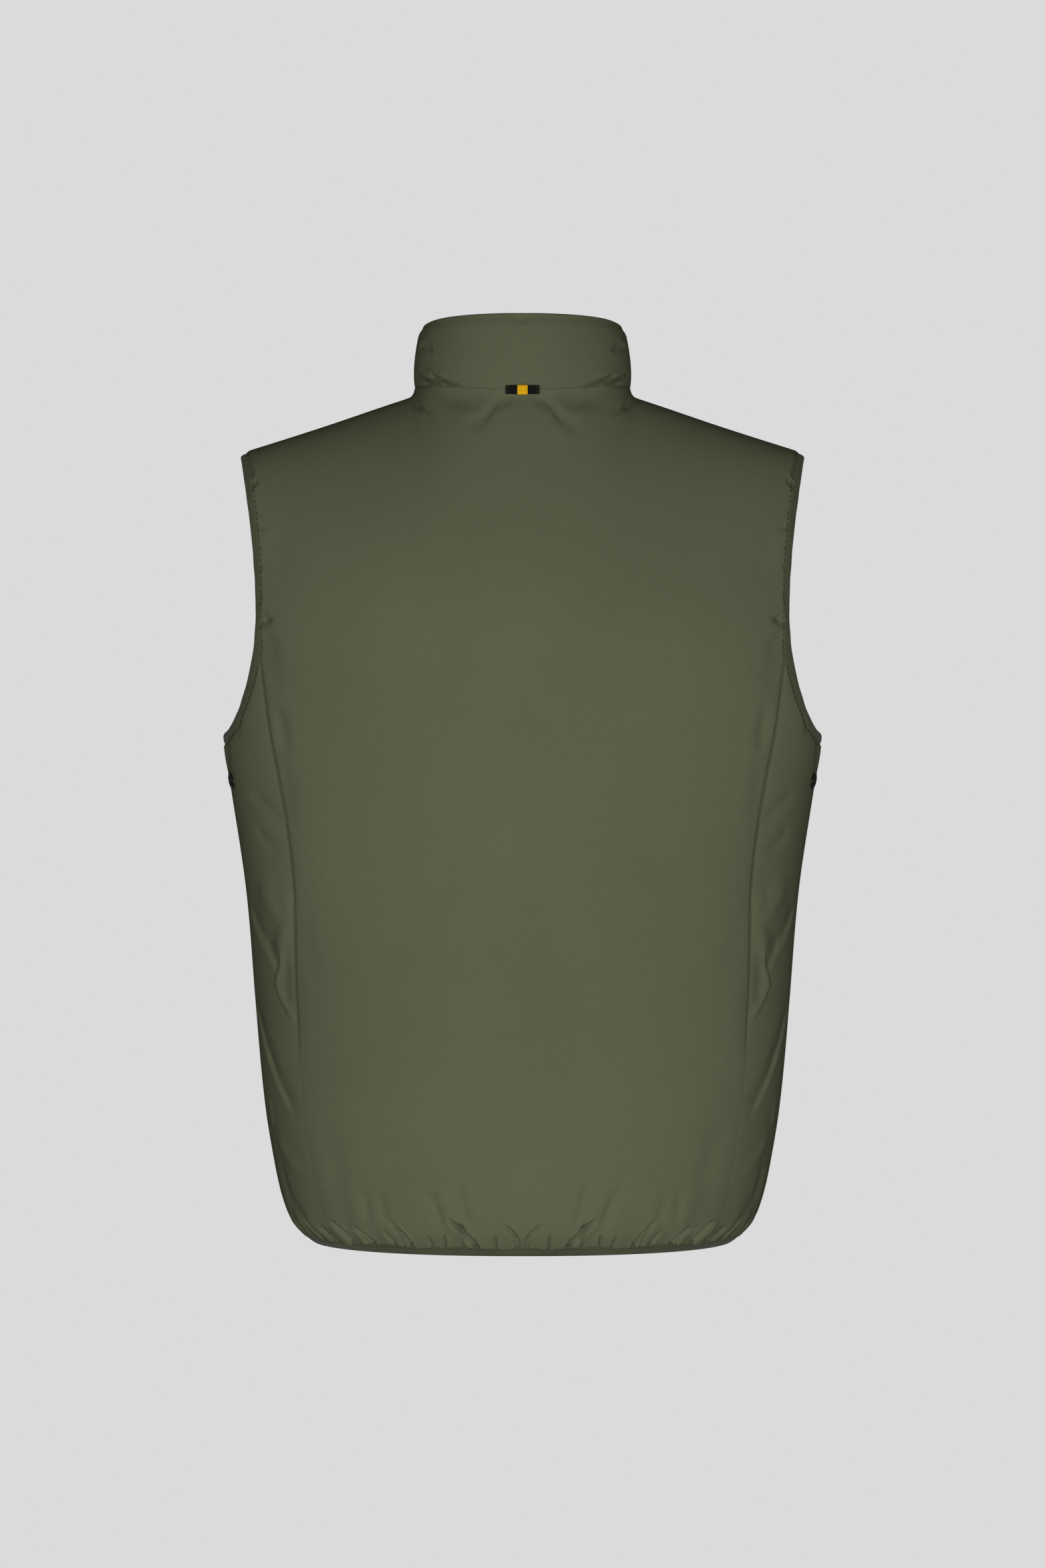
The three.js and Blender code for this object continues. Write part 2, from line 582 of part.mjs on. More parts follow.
// A band of one section swept along a line of frames; each frame has a place and two directions.
function sweep(frames, section, closed) {
  const ring = (f) =>
    section.map(([across, out]) => f.at.clone().addScaledVector(f.across, across).addScaledVector(f.out, out));
  const rings = frames.map(ring);
  const points = [];
  const count = closed ? rings.length : rings.length - 1;
  for (let i = 0; i < count; i += 1) {
    const a = rings[i];
    const b = rings[(i + 1) % rings.length];
    a.forEach((p, k) => {
      const n = (k + 1) % a.length;
      points.push(p, a[n], b[k], a[n], b[n], b[k]);
    });
  }
  if (!closed) {
    for (let k = 1; k < section.length - 1; k += 1) {
      points.push(rings[0][0], rings[0][k + 1], rings[0][k]);
      points.push(rings.at(-1)[0], rings.at(-1)[k], rings.at(-1)[k + 1]);
    }
  }
  return solidFrom(points);
}

// A flattened round section: half its height across, half its thickness out.
const oval = (halfAcross, halfOut, sides, square = 1) =>
  Array.from({ length: sides }, (_, i) => {
    const a = (2 * Math.PI * (i + 0.5)) / sides;
    const soften = (v) => Math.sign(v) * Math.pow(Math.abs(v), square);
    return [halfAcross * soften(Math.cos(a)), halfOut * soften(Math.sin(a))];
  });

// The armhole's edge, once round from the back seam up over the shoulder and down under the arm, at
// the points where the panels have their own.
function armholeEdge() {
  const edge = [];
  const add = (skin, ends, share, height, inward) => {
    const at = skin(share, height);
    edge.push({ at, out: normalOf(skin, share, height, ends), across: at.clone().sub(inward) });
  };
  const body = { from: -1, to: 1, top: 2 };
  const front = { from: 0, to: 1, top: 2 };
  const side = { from: -1, to: 1, top: 1 };
  const heights = [1, ...UPPER_ROWS, 2];
  heights.forEach((h) => add(backSkin, body, 1, h, backSkin(0.985, h)));
  heights.toReversed().slice(1).forEach((h) => add(frontSkin, front, 1, h, frontSkin(0.985, h)));
  SIDE_SHARES.slice(1, -1).forEach((s) => add(sideSkin, side, s, 1, sideSkin(s, 0.985)));
  return edge;
}

function armholeBinding() {
  const half = ARM_BINDING.wide / 2;
  const edge = armholeEdge();
  const near = (i) => [edge.at(i - 1), edge[i], edge[(i + 1) % edge.length]];
  const frames = edge.map((e, i) => {
    const [before, , after] = near(i);
    const mean = (key) => near(i).reduce((sum, n) => sum.add(n[key].clone().normalize()), new THREE.Vector3());
    const along = after.at.clone().sub(before.at).normalize();
    const out = mean("out").normalize();
    out.addScaledVector(along, -out.dot(along)).normalize();
    const across = mean("across");
    across.addScaledVector(along, -across.dot(along)).addScaledVector(out, -across.dot(out)).normalize();
    const turn = e.at.clone().sub(before.at).angleTo(after.at.clone().sub(e.at));
    const reach = (half + 2 * GAP) / Math.cos(turn / 2);
    const at = e.at.clone().addScaledVector(across, reach).addScaledVector(out, -SEAM_DIP.armhole - EDGE / 2 + 0.6);
    return { at, across, out };
  });
  return sweep(frames, oval(half, ARM_BINDING.thick / 2, 8, 0.8), true);
}

// The hem binding follows the body's lowest ring from one side of the zip to the other.
function hemBinding() {
  const middle = HEM + HEM_BINDING / 2;
  const first = Math.acos(ZIP.halfGap / 166);
  const frames = steps(72, -first, Math.PI + first).map((turn) => {
    const p = (level) => ringPoint(level, turn > Math.PI ? turn - 2 * Math.PI : turn);
    const across = p(HEM + HEM_BINDING).sub(p(HEM)).divideScalar(HEM_BINDING);
    const out = ringNormal(p(HEM + HEM_BINDING));
    return { at: p(middle).addScaledVector(out, -SEAM_DIP.hem - EDGE / 2 + 0.7), across, out };
  });
  return sweep(frames, oval(HEM_BINDING / 2, 1.9, 8, 0.75), false);
}

// The zip's line up the centre front: between the fronts, then between the collar's ends.
function zipLine() {
  const body = steps(24, 0, 1).map((h) => frontSkin(0, h).setX(0));
  const upper = steps(8, 1, 2).slice(1, -1).map((h) => frontSkin(0, h).setX(0));
  const collar = steps(6, 0.08, 0.97).map((h) => collarSkin(1, h).setX(0));
  const foot = ringPointAt(HEM, 0, "front").setX(0);
  return new THREE.CatmullRomCurve3([foot, ...body.slice(1), ...upper, ...collar]);
}

const ZIP_LINE = zipLine();
const ZIP_STEPS = 40;

function zipFrame(u) {
  const along = ZIP_LINE.getTangentAt(u);
  const across = new THREE.Vector3(1, 0, 0);
  const out = along.clone().cross(across).normalize();
  if (out.y > 0) out.negate();
  return { at: ZIP_LINE.getPointAt(u), across, out, along };
}

function zipStrip(from, to, left, right, thick, rise) {
  const frames = steps(Math.ceil(ZIP_STEPS * (to - from)), from, to).map(zipFrame);
  frames.forEach((f) => f.at.addScaledVector(f.out, -ZIP.sunk + rise));
  const h = thick / 2;
  return sweep(frames, [[left, -h], [right, -h], [right, h], [left, h]], false);
}

// The slider sits just under the top stops; its two plates hold the chain's end between them.
const SLIDER = { length: 11, wide: 9.4, plate: 1.2, room: 3.1, flange: 0.9, post: 3, bridge: 2, bridgeRise: 3 };
const SLIDER_AT = 0.968; // share of the zip's length
const PULL = { long: 30, wide: 7.4, thick: 1.5, eye: 5.6, eyeWide: 3.6, bar: 1.3 };

const solidOf = (geometry) => {
  const bare = geometry.clone();
  ["normal", "uv"].forEach((name) => bare.deleteAttribute(name));
  const merged = mergeVertices(bare, 1e-4);
  return new wasm.Manifold(
    new wasm.Mesh({
      numProp: 3,
      vertProperties: merged.attributes.position.array,
      triVerts: new Uint32Array(merged.index.array),
    }),
  );
};

const geometryOf = (solid) => {
  const mesh = solid.getMesh();
  return new THREE.BufferGeometry()
    .setAttribute("position", new THREE.BufferAttribute(mesh.vertProperties, 3))
    .setIndex(new THREE.BufferAttribute(mesh.triVerts, 1));
};

const block = (wide, deep, high, x, y, z) => solidOf(new THREE.BoxGeometry(wide, deep, high).translate(x, y, z));

// Local frame of the slider and pull: x across, y away from the cloth reversed, z up the zip.
function sliderSolid() {
  const s = SLIDER;
  const plateY = s.room / 2 + s.plate / 2;
  const slot = ZIP.tapeThick / 2 + GAP;
  const flangeDeep = s.room / 2 - slot;
  const parts = [-1, 1].flatMap((side) => [
    block(s.wide, s.plate, s.length, 0, side * plateY, 0),
    ...[-1, 1].map((edge) =>
      block(s.flange, flangeDeep + 0.2, s.length, edge * (s.wide - s.flange) / 2, side * (slot + flangeDeep / 2 + 0.1), 0)),
  ]);
  parts.push(block(s.post, s.room + 0.4, 2.4, 0, 0, s.length / 2 - 1.2));
  const front = -s.room / 2 - s.plate;
  parts.push(block(s.bridge, s.bridgeRise + 0.2, 1.2, 0, front - s.bridgeRise / 2 + 0.1, s.length / 2 - 1.4));
  parts.push(block(s.bridge, s.bridgeRise + 0.2, 1.2, 0, front - s.bridgeRise / 2 + 0.1, -s.length / 2 + 1.9));
  parts.push(block(s.bridge, 0.9, s.length - 2.1, 0, front - s.bridgeRise + 0.35, 0.25));
  return parts.reduce((a, b) => a.add(b));
}

function pullSolid() {
  const p = PULL;
  const half = p.wide / 2;
  const round = 2;
  const outline = new THREE.Shape();
  outline.moveTo(-half + round, p.bar / 2);
  outline.lineTo(half - round, p.bar / 2);
  outline.absarc(half - round, p.bar / 2 - round, round, Math.PI / 2, 0, true);
  outline.lineTo(half - 0.8, -p.long + round);
  outline.absarc(half - 0.8 - round, -p.long + round, round, 0, -Math.PI / 2, true);
  outline.lineTo(-half + 0.8 + round, -p.long);
  outline.absarc(-half + 0.8 + round, -p.long + round, round, -Math.PI / 2, -Math.PI, true);
  outline.lineTo(-half, p.bar / 2 - round);
  outline.absarc(-half + round, p.bar / 2 - round, round, Math.PI, Math.PI / 2, true);
  const eye = new THREE.Path();
  eye.moveTo(-p.eyeWide / 2, -p.bar / 2);
  eye.lineTo(-p.eyeWide / 2, -p.eye);
  eye.lineTo(p.eyeWide / 2, -p.eye);
  eye.lineTo(p.eyeWide / 2, -p.bar / 2);
  outline.holes.push(eye);
  const plate = new THREE.ExtrudeGeometry(outline, { depth: p.bar, bevelEnabled: false, curveSegments: 4 });
  return plate.translate(0, 0, -p.bar / 2).rotateX(Math.PI / 2);
}

function placedOnZip(mesh, u, rise) {
  const f = zipFrame(u);
  const at = f.at.clone().addScaledVector(f.out, -ZIP.sunk + rise);
  const basis = new THREE.Matrix4().makeBasis(f.across, f.out.clone().negate(), f.along);
  mesh.matrixAutoUpdate = false;
  mesh.matrix.copy(basis).setPosition(at);
  return mesh;
}

// A woven tape folded flat over the neck seam at the centre back.
function neckLoop() {
  const half = { wide: 12.7, high: 3.3, thick: 0.9 };
  const frames = steps(12, -1, 1).map((t) => {
    const x = half.wide * t;
    const onNeck = neckPoint(Math.asin(Math.abs(x) / NECK.halfWidth));
    const bow = 1.5 * (1 - t * t) + 0.55;
    return {
      at: new THREE.Vector3(x, onNeck.y + bow, onNeck.z - 1),
      across: new THREE.Vector3(0, 0, 1),
      out: new THREE.Vector3(x / NECK.halfWidth, 1, 0).normalize(),
    };
  });
  return sweep(frames, oval(half.high, half.thick, 10, 0.7), false);
}

// A vent eyelet under the arm, on the side panel's outer face.
const EYELET = { outer: 6.6, hole: 2.9, rise: 1.1, turn: 0.19, level: -300 };

function eyeletRing() {
  const e = EYELET;
  const profile = [
    [e.hole, -0.2],
    [e.outer, -0.2],
    [e.outer, 0.25],
    [e.outer - 0.9, e.rise * 0.85],
    [(e.outer + e.hole) / 2, e.rise],
    [e.hole + 0.6, e.rise * 0.8],
    [e.hole, 0.2],
    [e.hole, -0.2],
  ].map(([x, y]) => new THREE.Vector2(x, y));
  return new THREE.LatheGeometry(profile, 20);
}

function eyeletMesh(material, side) {
  const mesh = new THREE.Mesh(eyeletRing(), material);
  const at = ringPoint(EYELET.level, EYELET.turn);
  const near = (dl, dt) => ringPoint(EYELET.level + dl, EYELET.turn + dt);
  const up = near(2, 0).sub(near(-2, 0)).normalize();
  const round = near(0, 0.02).sub(near(0, -0.02)).normalize();
  const out = round.clone().cross(up).normalize();
  at.addScaledVector(out, 0.55);
  if (side < 0) [at, out].forEach((v) => (v.x *= -1));
  mesh.position.copy(at);
  mesh.quaternion.setFromUnitVectors(new THREE.Vector3(0, 1, 0), out);
  return mesh;
}

const finish = (color, roughness, metalness = 0) => new THREE.MeshStandardMaterial({ color, roughness, metalness });
const SHELL = finish(0x5a5e46, 0.62);
const ELASTIC = finish(0x4a4c36, 0.85);
const TAPE = finish(0x474b37, 0.8);
const CHAIN = finish(0x3f4232, 0.45);
const METAL = finish(0x2b2c28, 0.35, 0.9);
const LOOP = finish(0x0d0d0b, 0.7);
const RING = finish(0x11110f, 0.4, 0.3);

const vest = new THREE.Group();
const add = (name, geometry, material) => {
  const mesh = new THREE.Mesh(geometry, material);
  mesh.name = name;
  vest.add(mesh);
  return mesh;
};
const mirrored = (geometry) => {
  const p = geometry.attributes.position;
  const corners = Array.from({ length: p.count }, (_, i) => new THREE.Vector3(-p.getX(i), p.getY(i), p.getZ(i)));
  return solidFrom(corners.toReversed());
};

add("back_panel", backPanel(), SHELL);
const side = sidePanel();
add("side_panel_left", side, SHELL);
add("side_panel_right", mirrored(side), SHELL);
const front = frontPanel();
add("front_left", front, SHELL);
add("front_right", mirrored(front), SHELL);
add("collar", collarPanel(), SHELL);
const binding = armholeBinding();
add("armhole_binding_left", binding, ELASTIC);
add("armhole_binding_right", mirrored(binding), ELASTIC);
add("hem_binding", hemBinding(), ELASTIC);
add("neck_loop", neckLoop(), LOOP);

const tapeEdge = ZIP.halfGap - GAP;
const tapeInner = ZIP.chainHalf + GAP;
const tape = zipStrip(0.004, 1, tapeInner, tapeEdge, ZIP.tapeThick, 0);
add("zip_tape_left", tape, TAPE);
add("zip_tape_right", mirrored(tape), TAPE);
const LENGTH = ZIP_LINE.getLength();
const boxTop = 0.004 + 12 / LENGTH;
const chainTop = SLIDER_AT + (SLIDER.length / 2 - 2.4 - GAP - 0.4) / LENGTH;
add("zip_chain", zipStrip(boxTop + GAP / LENGTH, chainTop, -ZIP.chainHalf, ZIP.chainHalf, ZIP.chainThick, 0), CHAIN);
add("zip_box", zipStrip(0.004, boxTop, -ZIP.chainHalf, ZIP.chainHalf, 3.4, 0), METAL);
placedOnZip(add("zip_slider", geometryOf(sliderSolid()), METAL), SLIDER_AT, 0);
const pivotRise = SLIDER.room / 2 + SLIDER.plate + PULL.bar / 2 + 0.45;
placedOnZip(add("zip_pull", pullSolid(), METAL), SLIDER_AT, pivotRise);

[["eyelet_left", 1], ["eyelet_right", -1]].forEach(([name, way]) => {
  const mesh = eyeletMesh(RING, way);
  mesh.name = name;
  vest.add(mesh);
});

export default vest;
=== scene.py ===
# A lightly padded zip vest in its hollow worn form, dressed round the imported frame.
# Panel sizes are in millimetres, as on a cutting table, and become metres where a mesh is made.
# +Z is up, the wearer faces -Y and the wearer's left is +X.
import math
import bmesh
import bpy
import numpy as np
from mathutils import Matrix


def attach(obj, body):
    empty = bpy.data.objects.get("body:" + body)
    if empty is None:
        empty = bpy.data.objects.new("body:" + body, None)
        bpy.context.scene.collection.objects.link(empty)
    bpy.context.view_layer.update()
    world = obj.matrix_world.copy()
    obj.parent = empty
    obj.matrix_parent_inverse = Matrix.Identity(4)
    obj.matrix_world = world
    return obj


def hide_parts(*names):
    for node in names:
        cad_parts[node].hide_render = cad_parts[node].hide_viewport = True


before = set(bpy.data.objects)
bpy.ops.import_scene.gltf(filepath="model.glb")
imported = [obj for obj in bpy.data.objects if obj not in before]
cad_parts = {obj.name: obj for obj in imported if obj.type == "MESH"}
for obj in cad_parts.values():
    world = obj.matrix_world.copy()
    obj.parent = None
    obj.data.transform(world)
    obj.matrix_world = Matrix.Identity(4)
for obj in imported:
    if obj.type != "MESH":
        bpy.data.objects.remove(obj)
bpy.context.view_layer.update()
scene = bpy.context.scene
mm = 0.001
seamGap = 0.3
seamLap = 0.2  # sewn cloth pieces reach past each other by this, so that no light shows through a seam

# The worn shape: rings round the body, from the hem up.
body = {
    "hem": -659.6,
    "bindingHigh": 8.8,
    "join": -206,  # where the side seams run into the armholes
    "underarm": -271.5,
    "underarmCurve": 3.1,
    "roundness": 2.2,
    "level": [-659.6, -654, -650, -642, -633, -617, -596, -554, -471, -388, -305, -264, -206],
    "halfWidth": [162, 169.3, 173.5, 180, 184.3, 189.2, 193.6, 200.2, 207.7, 215, 227.5, 234.5, 237],
    "back": [104, 107, 109.5, 113.5, 116, 119, 121.5, 123.5, 122, 118.5, 116, 115, 114],
    "front": [99, 101.5, 104, 107.5, 110, 113, 115, 116, 115, 113.5, 113, 112.5, 111],
}
sideSeam = {
    "level": [-659.6, -650, -633, -594, -548, -504, -446, -392, -363, -338, -308, -256, -206],
    "out": [133, 143, 152, 160, 166.7, 171.2, 174.6, 175, 177.2, 180.4, 185.3, 195, 202],
    "reach": 72,  # half the side panel's width round the body
}
shoulder = {"y": -4, "tipOut": 213.5, "tipLift": 0.4, "slope": 0.335, "column": 235}
neck = {
    "halfWidth": 85.5, "back": 72, "front": 80,
    "backLevel": -1.2, "sideLevel": 7.3, "frontLevel": -62,
    "backRise": 2, "sideRise": 6.9, "frontRise": 3,  # how far the cloth turns up to the neck seam
    "reach": 7, "broadReach": 34, "run": 1.2, "turnIn": 8, "seamLean": 0.2,
}
# Above the join a panel is columns, each an arc. Leans at its foot and its head.
columns = {
    "back": {"foot": (0, 8, 200), "footEdge": (-30, 32, 170), "head": (0, -180, 6),
             "headEdge": (10, -165, 12)},
    "front": {"foot": (0, -8, 150), "footEdge": (-75, -10, 170), "head": (0, 165, 6),
              "headEdge": (32, 140, 12)},
}
# The zip lies sunk between the fronts. Its box and slider are placed by shares of its length.
zipLine = {
    "halfGap": 10.6, "sunk": 2.6, "boxFrom": 0.004, "boxLong": 12,
    "sliderAt": 0.968, "sliderLong": 11, "sliderMouth": 2.4, "stopAbove": 8.4,
}
innerEdge = {"back": 0, "front": zipLine["halfGap"]}
bothWays = {"left": np.array([1, 1, 1]), "right": np.array([-1, 1, 1])}  # as made, and mirrored
panelFoot = body["hem"] + body["bindingHigh"] + seamGap
panelHigh = body["join"] - panelFoot


def mix(a, b, t):
    return a + (b - a) * t


def soften(x):  # 0 to 1, with no corner at either end
    x = np.clip(x, 0, 1)
    return x * x * (3 - 2 * x)


def unit(v):
    return v / np.maximum(np.linalg.norm(v, axis=-1, keepdims=True), 1e-12)


def pathFar(line):  # how far along a line each of its points is
    return np.concatenate([[0], np.cumsum(np.linalg.norm(np.diff(line, axis=0), axis=1))])


def readPath(values, far, place):
    return np.stack([np.interp(place, far, values[:, k]) for k in range(3)], axis=-1)


def squareTo(v, along):  # the part of each direction that is square to another
    return v - along * np.sum(v * along, axis=1, keepdims=True)


def xyz(x, y, z):
    return np.stack(np.broadcast_arrays(x, y, z), axis=-1).astype(float)


def hermite(t, a, b, fromA, intoB):
    rise = t * t * (3 - 2 * t)
    return a + (b - a) * rise + fromA * t * (1 - t) ** 2 - intoB * t * t * (1 - t)


def readTable(table, column, level):  # a smooth line through the rows that never overshoots them
    x, y = np.array(table["level"], float), np.array(table[column], float)
    at = np.clip(np.searchsorted(x, level, side="right") - 1, 0, len(x) - 2)
    slope = np.diff(y) / np.diff(x)
    a, b = slope[:-1], slope[1:]
    turning = np.where(a * b > 0, 2 * a * b / np.where(a * b > 0, a + b, 1), 0)
    lean = np.concatenate([slope[:1], turning, slope[-1:]])
    span = x[at + 1] - x[at]
    return hermite((level - x[at]) / span, y[at], y[at + 1], lean[at] * span, lean[at + 1] * span)


def seamOut(level):
    return readTable(sideSeam, "out", level)


# Points on the body's ring at a level, by turn (0 at the wearer's left, positive to the back) or by place.
def ringPoint(level, turn):
    def squared(v):
        return np.sign(v) * np.abs(v) ** (2 / body["roundness"])

    reach = np.where(turn > 0, readTable(body, "back", level), readTable(body, "front", level))
    wide = readTable(body, "halfWidth", level)
    return xyz(wide * squared(np.cos(turn)), reach * squared(np.sin(turn)), level)


def ringPointAt(level, x, side):
    share = np.minimum(1, np.abs(x) / readTable(body, "halfWidth", level))
    y = readTable(body, side, level) * (1 - share ** body["roundness"]) ** (1 / body["roundness"])
    return xyz(x, y if side == "back" else -y, level)


# The neck seam and the collar's upper edge, by angle from the centre back.
def neckPoint(angle):
    c, s = np.cos(angle), np.sin(angle)
    level = np.where(
        c > 0,
        mix(neck["backLevel"], neck["sideLevel"], s * s),
        mix(neck["sideLevel"], neck["frontLevel"], np.maximum(-c, 0) ** 1.35),
    )
    return xyz(neck["halfWidth"] * s, shoulder["y"] + np.where(c > 0, neck["back"], neck["front"]) * c, level)


def shoulderLevel(out):
    inside = np.minimum(1, out / neck["halfWidth"])
    fall = shoulder["slope"] * np.maximum(0, out - neck["halfWidth"])
    return shoulder["tipLift"] - fall + shoulder["slope"] * neck["halfWidth"] * (1 - inside ** 2) / 2


def columnAt(out, side):
    lean = {key: np.array(value, float) for key, value in columns[side].items()}
    inner = innerEdge[side]
    part = (out - inner) / (shoulder["tipOut"] - inner)
    foot = ringPointAt(body["join"] + 0 * part, mix(inner, seamOut(body["join"]), part), side)
    apart = -seamLap / 2 if side == "back" else seamLap / 2
    head = xyz(out, shoulder["y"] + apart, shoulderLevel(out))
    fromFoot = mix(lean["foot"], lean["footEdge"], part[..., None] ** 4)
    intoHead = mix(lean["head"], lean["headEdge"], part[..., None] ** 5)
    return foot, head, fromFoot, intoHead


def columnEnd(column, out, side):  # the share of a column that ends at the neck seam
    below, above = np.full_like(out, 0.3), np.ones_like(out)
    for _ in range(22):
        middle = (below + above) / 2
        p = hermite(middle[..., None], *column)
        inside = np.hypot(p[..., 0] / neck["halfWidth"], (p[..., 1] - shoulder["y"]) / neck[side]) < 1
        above, below = np.where(inside, middle, above), np.where(inside, below, middle)
    return np.where(out < neck["halfWidth"], above, 1)


def upperPoint(share, rise, side):
    inner = innerEdge[side]
    out = mix(inner, shoulder["tipOut"], np.abs(share))
    column = columnAt(out, side)
    end = columnEnd(column, out, side)
    head = hermite(end[..., None], *column)
    p = hermite((rise * end)[..., None], *column)
    below = (1 - rise) * end * shoulder["column"]
    angle = np.arctan2(head[..., 0] / neck["halfWidth"], np.abs(head[..., 1] - shoulder["y"]) / neck[side])
    turnUp = mix(neck[side + "Rise"], neck["sideRise"], np.sin(angle) ** 2)
    broad = neckPoint(angle if side == "back" else math.pi - angle)[..., 2] - turnUp - head[..., 2]
    atNeck = turnUp * np.exp(-below / neck["reach"]) + broad * np.exp(-below / neck["broadReach"])
    beside = neck["sideRise"] * np.exp(-(out - neck["halfWidth"]) / neck["run"] - below / neck["reach"])
    p[..., 2] += np.where(out < neck["halfWidth"], atNeck, beside)
    p[..., 0] *= np.where(share < 0, -1, 1)
    return p


# Each skin is a surface of (share across, height): 0 is the hem seam, 1 the join, 2 the neck and shoulder.
def panelSkin(share, height, side):
    level = mix(panelFoot, body["join"], np.minimum(height, 1))
    lower = ringPointAt(level, mix(innerEdge[side], seamOut(level), share), side)
    return np.where((height > 1)[..., None], upperPoint(share, np.maximum(height - 1, 0), side), lower)


def backSkin(share, height):
    return panelSkin(share, height, "back")


def frontSkin(share, height):
    return panelSkin(share, height, "front")


def sideSkin(share, height):  # share -1 is the front seam, 1 the back seam
    top = mix(body["underarm"], body["join"], np.abs(share) ** body["underarmCurve"])
    level = mix(panelFoot, top, height)
    turn = np.arccos((seamOut(level) / readTable(body, "halfWidth", level)) ** (body["roundness"] / 2))
    return ringPoint(level, turn * share)


collar = {
    "topHalfWidth": 80, "topBack": 65.5, "topFront": 75,
    "backLevel": 56.8, "sideLevel": 54.5, "frontLevel": 0,
    "wall": 7, "high": 57, "round": 232,
}


def collarSkin(share, height):
    def angleOf(wide):
        return np.abs(share) * (math.pi - math.asin(zipLine["halfGap"] / wide))

    angle = angleOf(collar["topHalfWidth"])
    c, s = np.cos(angle), np.sin(angle)
    level = np.where(
        c > 0,
        mix(collar["backLevel"], collar["sideLevel"], s ** 4),
        mix(collar["sideLevel"], collar["frontLevel"], np.maximum(-c, 0) ** 1.3),
    )
    reach = np.where(c > 0, collar["topBack"], collar["topFront"])
    top = xyz(collar["topHalfWidth"] * s, shoulder["y"] + reach * c, level)
    p = mix(neckPoint(angleOf(neck["halfWidth"])), top, height[..., None])
    p[..., 0] *= np.where(share < 0, -1, 1)
    return p


def ringNormal(p):
    x, y, z = p[..., 0], p[..., 1], p[..., 2]
    power = body["roundness"] - 1
    wide = readTable(body, "halfWidth", z)
    deep = np.where(y > 0, readTable(body, "back", z), readTable(body, "front", z))
    wideUp, backUp, frontUp = (readTable(body, column, z + 0.5) - readTable(body, column, z - 0.5)
                               for column in ("halfWidth", "back", "front"))
    deepUp = np.where(y > 0, backUp, frontUp)
    u, v = x / wide, y / deep
    fall = np.abs(u) ** (power + 1) * wideUp / wide + np.abs(v) ** (power + 1) * deepUp / deep
    return unit(xyz(np.sign(u) * np.abs(u) ** power / wide, np.sign(v) * np.abs(v) ** power / deep, -fall))


def neckNormal(p):  # both walls at the neck seam end along this
    reach = np.where(p[..., 1] > shoulder["y"], neck["back"], neck["front"])
    out = unit(xyz(p[..., 0] / neck["halfWidth"] ** 2, (p[..., 1] - shoulder["y"]) / reach ** 2, 0))
    out[..., 2] = neck["seamLean"]
    return unit(out)


def faceOutward(normal, p):  # turns each direction away from the body's middle
    away = p - np.array([0, shoulder["y"], 0])
    away[..., 2] = np.where(p[..., 2] > body["join"], 60, 0)
    return normal * np.where(np.sum(normal * away, axis=-1, keepdims=True) < 0, -1, 1)


def skinNormal(skin, share, height, firstShare, top):
    step = 2e-3
    p = skin(share, height)
    across = skin(np.minimum(1, share + step), height) - skin(np.maximum(firstShare, share - step), height)
    up = skin(share, np.minimum(top, height + step)) - skin(share, np.maximum(0, height - step))
    normal = faceOutward(unit(np.cross(across, up)), p)
    if skin is collarSkin:
        return unit(mix(normal, neckNormal(p), np.exp(-height * collar["high"] / neck["turnIn"])[..., None]))
    caught = np.exp(-(2 - height) * shoulder["column"] / neck["turnIn"])[..., None]
    upper = np.where(
        (np.abs(p[..., 0]) < neck["halfWidth"] + 0.02)[..., None],
        mix(normal, neckNormal(p), caught),
        normal * (1 - caught * np.array([0, 1, 0])),
    )
    return np.where((height > 1)[..., None], unit(upper), ringNormal(p))


# One crease: a line from start to end (place across, level), as wide as its soft side, a trough below 0.
# bow bends it to one side, and steep narrows one of its flanks. A low rim runs on both sides of it.
creaseForm = {"past": 0.18, "fade": 0.45, "rim": 0.28, "rimReach": 2.3}


def crease(across, level, startX, startZ, endX, endZ, width, height, bow=0, steep=1):
    dx, dz = endX - startX, endZ - startZ
    length = math.hypot(dx, dz)
    fromX, fromZ = across - startX, level - startZ
    along = (fromX * dx + fromZ * dz) / length ** 2
    aside = (fromX * dz - fromZ * dx) / length - bow * 4 * along * (1 - along)
    wide = np.where(aside > 0, width * steep, width)
    past, rim = creaseForm["past"], creaseForm["rim"]
    ends = soften(np.minimum(along + past, 1 + past - along) / creaseForm["fade"])
    ridge = np.exp(-(aside / wide) ** 2) - rim * np.exp(-(aside / (creaseForm["rimReach"] * wide)) ** 2)
    return height * ends * ridge / (1 - rim)


def creaseLift(creases, across, level):  # every row holds what crease takes after the level
    return sum(crease(across, level, *row) for row in creases)


def softUneven(across, level, seed, height):  # the slow unevenness of thin padding
    a = np.sin(across / 37 + 1.7 * seed) * np.sin(level / 53 + 0.9 * seed)
    b = np.sin(across / 19 - level / 41 + 2.3 * seed) * np.sin(level / 67 + across / 83)
    return height * (0.6 * a + 0.4 * b)


gather = {"reach": 20, "openReach": 7, "atHem": 0.45, "below": 0.35}


def gatherLift(share, height, waves, seed, high):  # little pleats that the hem elastic draws in
    aboveHem = height * panelHigh
    uneven = 0.9 * np.sin(5.1 * share + seed) + 0.55 * np.sin(11.7 * share + 2 * seed)
    size = 0.72 + 0.28 * np.sin(7.3 * share + 3 * seed)
    opened = mix(1, gather["atHem"], np.exp(-aboveHem / gather["openReach"]))
    pleats = high * size * opened * np.cos(math.pi * waves * share + uneven)
    return pleats * np.exp(-aboveHem / gather["reach"]) * (height < gather["below"])


print("shape functions ready")


# Meshes from grids of points.
def quadsOf(at):
    corners = [at[:-1, :-1], at[:-1, 1:], at[1:, 1:], at[1:, :-1]]
    return np.stack([c.ravel() for c in corners], axis=1).tolist()


